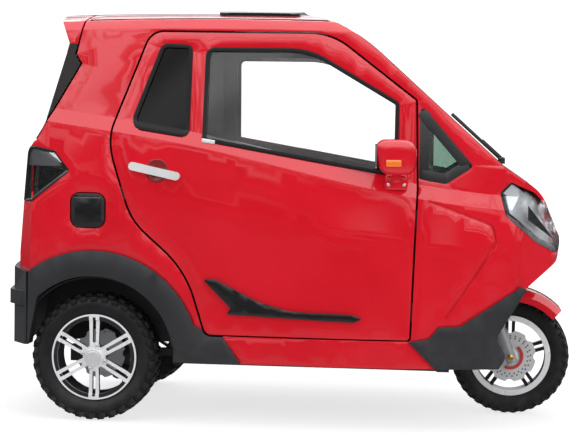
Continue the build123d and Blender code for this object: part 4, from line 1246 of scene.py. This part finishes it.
@dataclass
class SideMirror(Maker):
    """Rounded mirror housing with indicator, glass, foot and bolts on one door."""

    side: Side = Side.RIGHT
    middle: Point = (0.440, 0.630, 1.064)
    size: Point = (0.158, 0.126, 0.136)
    rounding: float = 0.042
    fullness: float = 0.4
    lean: float = 0.012
    waist: float = 0.84
    waist_rise: float = 1.6
    neck: Point = (0.438, 0.572, 1.000)
    neck_size: Point = (0.036, 0.046, 0.070)
    foot: Point = (0.438, 0.541, 0.966)
    foot_size: Point = (0.086, 0.030, 0.058)
    lens: Point = (0.432, 0.6865, 1.042)
    lens_size: Point = (0.058, 0.012, 0.026)
    glass: Point = (0.3645, 0.624, 1.070)
    glass_size: Point = (0.008, 0.096, 0.096)
    bolt_x: Span = (-0.030, 0.030)
    bolt_drop: float = 0.008

    # each row: radius, offset outward
    BOLT: ClassVar[Profile] = ((0.0065, -0.006), (0.0065, 0.003), (0.004, 0.0045), (0.0006, 0.0048),
                               (0.0006, -0.006))

    def build(self) -> None:
        """Model and dress the mirror."""
        node = f"mirror_{self.side.word}"
        word, bench = self.side.word, self.bench
        neck = bench.block("neck", self.neck, self.neck_size, bevel=0.010, segments=3)
        foot = bench.block("foot", self.foot, self.foot_size, bevel=0.009, segments=3)
        shell = bench.join(f"mirror_shell_{word}", [self.build_housing(), neck, foot])
        lens = bench.block(f"mirror_indicator_{word}", self.lens, self.lens_size, bevel=0.005, segments=3)
        glass = bench.block(f"mirror_glass_{word}", self.glass, self.glass_size, bevel=0.003)
        x, y, z = self.foot
        places = [(x + step, y + self.foot_size[1] / 2, z - self.bolt_drop) for step in self.bolt_x]
        turned = [bench.lathe("bolt", self.BOLT, place, steps=24) for place in places]
        bolts = bench.join(f"mirror_bolts_{word}", turned)
        # each row: piece, slot, finish, smoothing angle
        rows = ((shell, "body_red", FinishBook.RED, 50.0), (lens, "lamp_clear", FinishBook.AMBER, 50.0),
                (glass, "bright_chrome", FinishBook.MIRROR, 0.0),
                (bolts, "bright_chrome", FinishBook.CHROME, 35.0))
        for piece, slot, finish, smooth in rows:
            if self.side is Side.RIGHT:
                piece.data.transform(MIRRORED)
                piece.data.flip_normals()
            self.settle(piece, self.side.door, slot, finish, smooth=smooth)
        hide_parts(node)

    def build_housing(self) -> Object:
        """The rounded housing, leaning and narrower at its foot."""
        housing = self.bench.block("housing", self.middle, self.size, self.rounding, segments=4)
        self.bench.edit(housing, lambda: bpy.ops.mesh.subdivide(number_cuts=1, smoothness=self.fullness))
        middle, low = self.middle[0], self.middle[2] - self.size[2] / 2
        for vertex in housing.data.vertices:
            rise = (vertex.co.z - low) / self.size[2]
            taper = self.waist + (1.0 - self.waist) * min(1.0, rise * self.waist_rise)
            vertex.co.x = middle + (vertex.co.x + (0.5 - rise) * self.lean - middle) * taper
            vertex.co.y -= (1.0 - rise) * self.lean
        self.bench.modify(housing, "SUBSURF", levels=1)
        return housing


@dataclass(frozen=True)
class Bowl:
    """A reflector bowl: its place across and up, and its radius."""

    across: float
    height: float
    radius: float


@dataclass
class Lamps(Maker):
    """Reflectors, bezels and light bars inside the head and tail lamps."""

    heart: Point = (0.60, 0.0, 0.62)
    breadth: float = 0.8
    facing: float = 0.35
    bowls: Sequence[Bowl] = (Bowl(0.335, 0.868, 0.036), Bowl(0.262, 0.800, 0.030))
    bowl_depth: float = 0.010
    # each frame: width, how far it stands up, rounding of its edges
    bezel: FrameSize = (0.009, 0.0025, 0.0008)
    lower_bezel: FrameSize = (0.030, 0.0032, 0.0008)
    tail_frame: FrameSize = (0.012, 0.0025, 0.0008)
    bezel_drop: float = 0.035
    bezel_rise: float = 0.075
    mask_top: Point = (0.946, 0.0, 0.881)
    mask_foot: Point = (0.946, 0.0, 0.825)
    mask_slope: Point = (0.781, 0.0, 0.625)
    mask_under: Point = (-0.6, 0.0, -0.8)
    mask_depth: float = 0.0005
    tail_sweep: float = -0.25
    tail_facing: float = 0.4
    band_z: float = 1.006
    bar_x: Span = (-0.992, -0.984)
    band_proud: float = 0.0012

    # each row: share of the bowl's radius, radius added, offset along X
    BOWL: ClassVar[Sequence[Point]] = (
        (1.0, 0.0, 0.0), (1.0, 0.003, -0.001), (0.86, 0.0, -0.018), (0.45, 0.0, -0.026), (0.0, 0.008, -0.027),
        (0.0, 0.008, -0.012), (0.0, 0.0006, -0.008), (0.0, 0.0006, -0.024), (0.42, 0.0, -0.0235),
        (0.82, 0.0, -0.016),
    )

    def build(self) -> None:
        """Dress the lamp nodes and fill them."""
        heads = self.node("headlamps")
        self.book.paint(heads, FinishBook.REFLECTOR, FinishBook.LENS)
        for polygon in heads.data.polygons:
            polygon.material_index = int(self.faces_ahead(polygon.center, polygon.normal))
        self.build_bowls(heads)
        self.build_bezels(heads)
        self.build_mask(heads)
        self.dress_tails()

    def faces_ahead(self, middle: Vector, normal: Vector) -> bool:
        """Whether a face of a headlamp looks out of the lamp."""
        x, _, z = self.heart
        ahead = Vector((middle.x - x, middle.y * self.breadth, middle.z - z))
        return normal.dot(ahead.normalized()) > self.facing

    def build_bowls(self, node: Object) -> None:
        """Bright bowls with their bulbs behind each lens."""
        for side in Side:
            parts = []
            for bowl in self.bowls:
                front = from_ahead(node, side.value * bowl.across, bowl.height)
                profile = [(share * bowl.radius + added, offset) for share, added, offset in self.BOWL]
                centre = (front.x - self.bowl_depth, front.y, front.z)
                parts.append(self.bench.lathe(f"bowl_{bowl.height}", profile, centre, "X", steps=48))
            piece = self.bench.join(f"headlamp_bowls_{side.word}", parts)
            self.settle(piece, "body", "bright_chrome", FinishBook.CHROME, smooth=40.0)

    def build_bezels(self, node: Object) -> None:
        """Dark frame round each lens, broader along the lower edge."""
        bezel = self.bench.border("headlamp_bezel", node, self.faces_ahead, *self.bezel)
        self.settle(bezel, "body", "black_gloss", FinishBook.GLOSS)
        low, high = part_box("headlamps")
        start = Vector((low.x, 0, high.z - self.bezel_drop))
        slope = Vector((high.x, 0, low.z + self.bezel_rise)) - start
        lower = self.bench.border("headlamp_lower_bezel", node, self.faces_ahead, *self.lower_bezel)
        self.bench.cut(lower, (start, (-slope.z, 0, slope.x)), filled=True)
        self.settle(lower, "body", "black_gloss", FinishBook.GLOSS)

    def build_mask(self, node: Object) -> None:
        """Dark shield behind the lens of each headlamp."""
        mask = self.bench.skin("headlamp_mask", node, self.faces_ahead, merge=False)
        self.bench.cut(mask, (self.mask_top, self.mask_slope), (self.mask_top, (-1, 0, 0)),
                       (self.mask_foot, self.mask_under))
        self.bench.modify(mask, "DISPLACE", strength=-self.mask_depth, mid_level=0.0)
        self.bench.modify(mask, "SOLIDIFY", thickness=self.mask_depth, offset=-1.0)
        self.settle(mask, "body", "black_gloss", FinishBook.GLOSS)

    def dress_tails(self) -> None:
        """Smoked lens with a pale band, a red bar and a dark frame."""
        node = self.node("tail_lamps")
        self.book.paint(node, FinishBook.GLOSS, FinishBook.SMOKE)
        for polygon in node.data.polygons:
            out = Vector((self.tail_sweep, math.copysign(1.0, polygon.center.y), 0.0)).normalized()
            outward = polygon.normal.dot(out) > self.tail_facing
            polygon.material_index = int(outward or polygon.normal.x < -self.tail_facing)
        border = self.bench.border("tail_lamp_frame", node, faces_aside, *self.tail_frame)
        self.settle(border, "body", "black_gloss", FinishBook.GLOSS)
        top = (0, 0, self.band_z)
        rear, front = ((x, 0, 0) for x in self.bar_x)
        # each row: piece, finish, cuts
        bands = (("tail_lamp_band", FinishBook.PALE_LENS, [(top, (0, 0, -1))]),
                 ("tail_lamp_bar", FinishBook.RED_LENS,
                  [(rear, (-1, 0, 0)), (front, (1, 0, 0)), (top, (0, 0, 1))]))
        for name, finish, cuts in bands:
            band = self.bench.skin(name, node, faces_aside)
            self.bench.cut(band, *cuts)
            self.bench.modify(band, "SOLIDIFY", thickness=self.band_proud, offset=1.0)
            self.settle(band, "body", "lamp_smoked", finish)


@dataclass
class Pads(Maker):
    """Seat cushions and backs, swollen by cloth pressure."""

    nodes: Sequence[str] = ("driver_seat_cushion", "driver_seat_back", "rear_bench_cushion",
                            "rear_bench_back")
    voxel: float = 0.008
    shrink: float = 0.016
    pressure: float = 4.0
    cap: float = 0.024
    frames: int = 20
    channels: Sequence[float] = (-0.5, 0.0, 0.5)
    channel_depth: float = 0.007
    channel_width: float = 0.009
    upright_from: float = 0.3
    face_from: float = 0.55

    def build(self) -> None:
        """Make every pad."""
        for name in self.nodes:
            self.build_pad(name)

    def build_pad(self, name: str) -> None:
        """Swell one pad and press its sewn channels.

        Args:
            name: the CAD node that the pad stands for.
        """
        low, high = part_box(name)
        centre = (low + high) / 2
        pad = self.bench.plain_copy(self.node(name), f"{name}_pad")
        scale = Matrix.Diagonal([1 - 2 * self.shrink / length for length in high - low] + [1.0])
        pad.data.transform(Matrix.Translation(centre) @ scale @ Matrix.Translation(-centre))
        self.bench.edit(pad, weld)
        self.bench.modify(pad, "REMESH", mode="VOXEL", voxel_size=self.voxel)
        self.swell(pad)
        self.press_channels(pad, low, high)
        self.bench.modify(pad, "SUBSURF", levels=1)
        self.settle(pad, "body", "seat_vinyl", FinishBook.VINYL, smooth=180.0)
        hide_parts(name)

    def swell(self, pad: Object) -> None:
        """Blow the pad up as cloth under pressure and cap how far each point goes."""
        rest = [vertex.co.copy() for vertex in pad.data.vertices]
        cloth = pad.modifiers.new("cloth", "CLOTH")
        cloth.settings.use_pressure = True
        cloth.settings.uniform_pressure_force = self.pressure
        cloth.settings.effector_weights.gravity = 0.0
        cloth.point_cache.frame_start = 1
        cloth.point_cache.frame_end = self.frames
        scene = bpy.context.scene
        for number in range(1, self.frames + 1):
            scene.frame_set(number)
        shape = pad.evaluated_get(bpy.context.evaluated_depsgraph_get()).to_mesh()
        moved = [vertex.co.copy() for vertex in shape.vertices]
        pad.modifiers.remove(cloth)
        for vertex, start, end in zip(pad.data.vertices, rest, moved):
            step = end - start
            vertex.co = start + step * min(1.0, self.cap / max(step.length, 1e-6))
        scene.frame_set(1)

    def press_channels(self, pad: Object, low: Vector, high: Vector) -> None:
        """Press the sewn channels into the pad's face.

        Args:
            pad: the swollen pad.
            low: lowest corner of its CAD solid.
            high: highest corner of its CAD solid.
        """
        axis = 0 if high.z - low.z > self.upright_from else 2
        half = (high.y - low.y) / 2
        for vertex in pad.data.vertices:
            if (vertex.co[axis] - low[axis]) / (high[axis] - low[axis]) < self.face_from:
                continue
            near = min(abs(vertex.co.y - share * half) for share in self.channels)
            vertex.co[axis] -= self.channel_depth * math.exp(-((near / self.channel_width) ** 2))


@dataclass
class Trim(Maker):
    """Gutters, wiper, springs and small hardware."""

    gutter_x: Span = (-0.795, 0.235)
    gutter_y: float = 0.407592
    gutter_steps: int = 24
    gutter_size: Span = (0.010, 0.004)
    sky_z: float = 2.0
    wiper: Profile = ((-0.372, 1.048), (-0.366, 1.120), (-0.352, 1.225))
    wiper_lift: Point = (0.009, 0.0, 0.009)
    blade_size: Span = (0.012, 0.014)
    arm_size: Span = (0.016, 0.010)
    arm_shift: Point = (0.004, 0.006, 0.004)
    coil_turns: int = 7
    coil_radius: float = 0.030
    coil_wire: float = 0.0055
    coil_sides: int = 10
    coil_steps: int = 28
    coil_y: float = 0.300
    coil_end: float = 0.018
    nut_y: float = -0.099
    bracket_reach: Span = (0.043, 0.055)
    bracket_y: Span = (-0.0555, -0.0605)
    bracket_start: float = math.radians(40.0)
    bracket_sweep: float = math.radians(-165.0)
    bracket_bevel: float = 0.001
    disc_face: float = -0.0500
    # each ring of drillings: count, radius
    disc_holes: Sequence[tuple[int, float]] = ((24, 0.074), (25, 0.084))
    recess: Span = (-0.495, 0.994)
    panel_share: float = 0.78
    panel_height: float = 0.007
    clip: Span = (-0.296, 1.112)
    clip_size: Point = (0.052, 0.004, 0.015)
    clip_turn: float = math.radians(8.0)
    display: Point = (-0.2, -0.16, -0.070)
    display_size: Point = (0.150, 0.070, 0.012)

    # each row: radius, offset along the axis
    PIVOT: ClassVar[Profile] = ((0.014, -0.016), (0.014, 0.006), (0.010, 0.010), (0.0006, 0.011),
                                (0.0006, -0.016))
    NUT: ClassVar[Profile] = ((0.014, 0.0), (0.014, -0.012), (0.009, -0.014), (0.009, -0.020),
                              (0.0006, -0.021), (0.0006, 0.0))
    HOLE: ClassVar[Profile] = ((0.0036, 0.0), (0.0036, -0.0004), (0.0008, -0.0002), (0.0008, 0.0))
    DISH: ClassVar[Profile] = ((0.046, -0.002), (0.046, 0.0014), (0.043, 0.0022), (0.036, 0.0006),
                               (0.0006, 0.0003), (0.0006, -0.002))

    def build(self) -> None:
        """Make every small piece."""
        low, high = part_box("front_tyre")
        axle = Vector(((low.x + high.x) / 2, 0.0, (low.z + high.z) / 2))
        self.build_gutters()
        self.build_wiper()
        self.build_springs()
        self.build_axle_nut(axle)
        self.build_bracket(axle)
        self.build_disc_holes(axle)
        self.build_recesses()
        self.build_flap_panel()
        self.build_clips()
        self.build_display()

    def strip(self, name: str, points: Sequence[Vector], width: float, height: float) -> Object:
        """A flat strip along points, its width across the vehicle.

        Args:
            name: the piece's name.
            points: its middle line.
            width: its width.
            height: its thickness.

        Returns:
            The strip, bevelled.
        """
        half = Vector((0, width / 2, 0))
        piece = self.bench.outline(name, [p + half for p in points] + [p - half for p in reversed(points)])
        self.bench.modify(piece, "TRIANGULATE")
        self.bench.edit(piece, face_out)
        self.bench.modify(piece, "SOLIDIFY", thickness=height, offset=0.0)
        self.bench.modify(piece, "BEVEL", width=height / 4, segments=2, limit_method="ANGLE")
        return piece

    def mount(self, piece: Object, place: Matrix, body: str, slot: str, finish: Finish) -> None:
        """Move a piece from the origin to its place and settle it.

        Args:
            piece: the piece.
            place: where it goes.
            body: the CAD body that it moves with.
            slot: the record's material slot.
            finish: its finish.
        """
        piece.data.transform(place)
        self.settle(piece, body, slot, finish, smooth=35.0)

    def build_gutters(self) -> None:
        """Black strips in the seams between roof and side frames."""
        start, end = self.gutter_x
        shares = [index / self.gutter_steps for index in range(self.gutter_steps + 1)]
        stops = [start + (end - start) * share for share in shares]
        roof = self.node("roof_panel")
        for side in Side:
            points = [surface_frame(roof, (x, side.value * self.gutter_y, self.sky_z), (0, 0, -1)).translation
                      for x in stops]
            strip = self.strip(f"gutter_{side.word}", points, *self.gutter_size)
            self.settle(strip, "body", "liner_black", FinishBook.SEAL)

    def build_wiper(self) -> None:
        """Wiper arm and blade on the windscreen."""
        screen = self.node("windscreen")
        points = [from_ahead(screen, y, z) + Vector(self.wiper_lift) for y, z in self.wiper]
        blade = self.strip("wiper_blade", points, *self.blade_size)
        arm = self.strip("wiper_arm", [p + Vector(self.arm_shift) for p in points[:2]], *self.arm_size)
        pivot = self.bench.lathe("wiper_pivot", self.PIVOT, points[0], "Z", steps=32)
        piece = self.bench.join("front_wiper", [blade, arm, pivot])
        self.settle(piece, "body", "liner_black", FinishBook.BLACK, smooth=35.0)

    def build_springs(self) -> None:
        """Coils round the rear struts."""
        low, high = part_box("rear_springs")
        pitch = (high.z - low.z - 2 * self.coil_end) / self.coil_turns
        turns = [2 * math.pi * index / self.coil_sides for index in range(self.coil_sides)]
        ring = [(self.coil_radius + self.coil_wire * math.cos(turn), 0.0, self.coil_wire * math.sin(turn))
                for turn in turns]
        for side in Side:
            coil = self.bench.outline(f"rear_coil_{side.word}", ring, filled=False)
            self.bench.modify(coil, "SCREW", axis="Z", angle=2 * math.pi, screw_offset=pitch,
                              iterations=self.coil_turns, steps=self.coil_steps, render_steps=self.coil_steps,
                              use_merge_vertices=False)
            foot = ((low.x + high.x) / 2, side.value * self.coil_y, low.z + self.coil_end)
            coil.data.transform(Matrix.Translation(foot))
            self.bench.edit(coil, face_out)
            self.settle(coil, "body", "spring_steel", FinishBook.RED_IRON, smooth=60.0)

    def build_axle_nut(self, axle: Vector) -> None:
        """Brass nut at the fork's right end."""
        nut = self.bench.lathe("front_axle_nut", self.NUT, (axle.x, self.nut_y, axle.z), steps=6)
        self.settle(nut, "steering", "bright_chrome", FinishBook.BRASS)

    def build_bracket(self, axle: Vector) -> None:
        """Red bracket round the front axle's right end."""
        (inner, outer), (near, far) = self.bracket_reach, self.bracket_y
        section = ((inner, near), (outer, near), (outer, far), (inner, far))
        corners = [axle + Vector((0, y, radius)) for radius, y in section]
        bracket = self.bench.outline("front_brake_bracket", corners)
        turn = Matrix.Rotation(self.bracket_start, 4, "Y")
        bracket.data.transform(Matrix.Translation(axle) @ turn @ Matrix.Translation(-axle))
        self.bench.edit(
            bracket,
            lambda: bpy.ops.mesh.spin(steps=24, angle=self.bracket_sweep, center=axle, axis=(0, 1, 0)),
            select_all,
            weld,
            face_out,
        )
        self.bench.modify(bracket, "BEVEL", width=self.bracket_bevel, segments=2, limit_method="ANGLE")
        self.settle(bracket, "steering", "axle_black", FinishBook.RED_IRON, smooth=35.0)

    def build_disc_holes(self, axle: Vector) -> None:
        """Dark caps at the drillings of the front brake disc: painted shade standing in for the holes."""
        rings = []
        for count, reach in self.disc_holes:
            place = (axle.x, self.disc_face, axle.z + reach)
            # each cap is a thin dark disc on the disc's face, painted shade where a hole would show dark
            hole = self.bench.lathe(f"hole_{count}", self.HOLE, place, steps=14)
            rings.append(self.bench.polar(hole, count, axle))
        holes = self.bench.join("front_disc_holes", rings)
        self.settle(holes, "front_wheel", "axle_black", FinishBook.CHASSIS)

    def build_recesses(self) -> None:
        """Dished ring behind each door handle, in a darker red that is painted shade for the recess."""
        for side in Side:
            ring = self.bench.lathe(f"handle_recess_{side.word}", self.DISH, ORIGIN, "Z", steps=48)
            place = from_side(self.node(f"door_{side.word}"), side, *self.recess)
            self.mount(ring, place, side.door, "body_red", FinishBook.RED_SHADE)

    def build_flap_panel(self) -> None:
        """Raised panel on the charging flap."""
        low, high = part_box("charge_flap")
        middle = (low + high) / 2
        width = self.panel_share * (high.x - low.x)
        size = (width, width, self.panel_height)
        panel = self.bench.block("flap_panel", ORIGIN, size, bevel=0.003, segments=3)
        place = from_side(self.node("charge_flap"), Side.RIGHT, middle.x, middle.z)
        self.mount(panel, place, "flap", "liner_black", FinishBook.GLOSS)

    def build_clips(self) -> None:
        """Bright clip at the lower rear corner of each door's main pane."""
        for side in Side:
            place = from_side(bpy.data.objects[f"window_seal_{side.word}"], side, *self.clip).translation
            clip = self.bench.block(f"window_clip_{side.word}", ORIGIN, self.clip_size, bevel=0.0015)
            turn = Matrix.Rotation(self.clip_turn, 4, "Y")
            self.mount(clip, Matrix.Translation(place) @ turn, side.door, "bright_chrome", FinishBook.HANDLE)

    def build_display(self) -> None:
        """Display on the dashboard's rear face."""
        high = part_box("dashboard")[1]
        x, y, drop = self.display
        display = self.bench.block("display", ORIGIN, self.display_size, bevel=0.004, segments=3)
        place = surface_frame(self.node("dashboard"), (x, y, high.z + drop), (1, 0, 0))
        self.mount(display, place, "body", "black_gloss", FinishBook.SCREEN)


def pair(stem: str) -> tuple[str, str]:
    """The names of a right and a left node."""
    return f"{stem}_right", f"{stem}_left"


LINED = (*pair("door"), *pair("side_frame"), "roof_panel", "tailgate", "front_cowl")
ROUNDED = (*LINED, "sills", "spoiler", "front_mudguard", "rear_bumper", "front_lower_cladding",
           "sunroof_panel", "charge_flap", *pair("door_trim"), *pair("door_handle"))
FINISH_NODES: Sequence[tuple[Paint, Sequence[str]]] = (
    (FinishBook.RED, (*LINED, "sills", "spoiler", "front_mudguard", *pair("mirror"))),
    (FinishBook.CLADDING, ("front_lower_cladding", "rear_bumper")),
    (FinishBook.GLOSS, ("sunroof_panel", *pair("door_trim"))),
    (FinishBook.SEAL, ("door_seals",)),
    (FinishBook.BLACK, ("wheelhouses", "charge_flap", "dashboard", "handlebar", "battery_block")),
    (FinishBook.FLOOR, ("floor_pan", "front_bulkhead")),
    (FinishBook.CHASSIS, ("chassis_frame", "rear_axle")),
    (FinishBook.STEEL, ("rear_springs",)),
    (FinishBook.FORK, ("front_fork",)),
    (FinishBook.HANDLE, pair("door_handle")),
    (FinishBook.VINYL, Pads.nodes),
    (FinishBook.TYRE, ("front_tyre", *pair("rear_tyre"))),
    (FinishBook.FRONT_ALLOY, ("front_rim",)),
    (FinishBook.REAR_ALLOY, pair("rear_rim")),
    (FinishBook.CLEAR, ("windscreen",)),
    (FinishBook.QUARTER, ("front_quarter_lights",)),
    (FinishBook.TINT, pair("door_glass")),
    (FinishBook.PRIVACY, ("tailgate_glass",)),
    (FinishBook.LENS, ("headlamps",)),
    (FinishBook.SMOKE, ("tail_lamps",)),
)
# each room round a hinge or latch: its reach along X, across from the middle, and up
JAMB_ROOMS = (
    ((-0.701, -0.559), (0.540, 0.5512), (0.878, 0.932)),
    ((0.460, 0.550), (0.503, 0.5312), (0.428, 0.502)),
    ((0.460, 0.550), (0.503, 0.5312), (0.788, 0.862)),
)
CABIN_MIDDLE = Vector((-0.10, 0.0, 0.95))
INWARD = -0.25  # a normal that looks this little outward belongs to the cabin


def line_inside(node: Object, book: FinishBook, outside: Paint) -> None:
    """Dark lining on the faces of a panel that look into the cabin, and on its hinge and latch blocks.

    Args:
        node: the panel.
        book: the finishes.
        outside: the finish of its outer faces.
    """
    book.paint(node, outside, FinishBook.BLACK)
    for polygon in node.data.polygons:
        outward = (polygon.center - CABIN_MIDDLE).normalized()
        place = (polygon.center.x, abs(polygon.center.y), polygon.center.z)
        on_jamb = any(all(low < value < high for value, (low, high) in zip(place, room))
                      for room in JAMB_ROOMS)
        polygon.material_index = int(polygon.normal.dot(outward) < INWARD or on_jamb)


def dress_nodes(frame: dict, book: FinishBook) -> None:
    """Give each CAD node its finish.

    Args:
        book: the finishes.
    """
    for finish, names in FINISH_NODES:
        for name in names:
            node = frame["nodes"][name]
            if name in LINED:
                line_inside(node, book, finish)
            else:
                book.paint(node, finish)
            if name in ROUNDED:
                Workbench.round_edges(node)
            LOG.info("node %s: %s", name, finish.name)


def makers(frame: dict, book: FinishBook) -> list[Maker]:
    """Every sub-assembly that is modelled here.

    Args:
        book: the finishes.

    Returns:
        The makers, ready to build.
    """
    built: list[Maker] = [RoadWheel(frame, book)]
    for side in Side:
        built.append(RoadWheel(
            frame, book, tyre_node=f"rear_tyre_{side.word}", rim_node=f"rear_rim_{side.word}",
            body=f"rear_wheel_{side.word[0]}", side=side, alloy=FinishBook.REAR_ALLOY, bead_drop=0.082,
            lug_count=34, lug_rows=REAR_LUGS, disc_y=(0.384, 0.392), disc_reach=(0.036, 0.104),
            face_y=0.507, nut_circle=0.048, cap_y=0.529))
        built.append(SideMirror(frame, book, side=side))
    return built + [PaneSeals(frame, book), Lamps(frame, book), Pads(frame, book), Trim(frame, book)]


def main() -> None:
    """Build the vehicle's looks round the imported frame."""
    logging.basicConfig(level=logging.INFO, format="%(name)s: %(message)s")
    bpy.ops.object.select_all(action="SELECT")
    bpy.ops.object.delete()
    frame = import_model()
    book = FinishBook()
    dress_nodes(frame, book)
    for maker in makers(frame, book):
        maker.build()
    Studio().build()


if __name__ == "__main__":
    main()
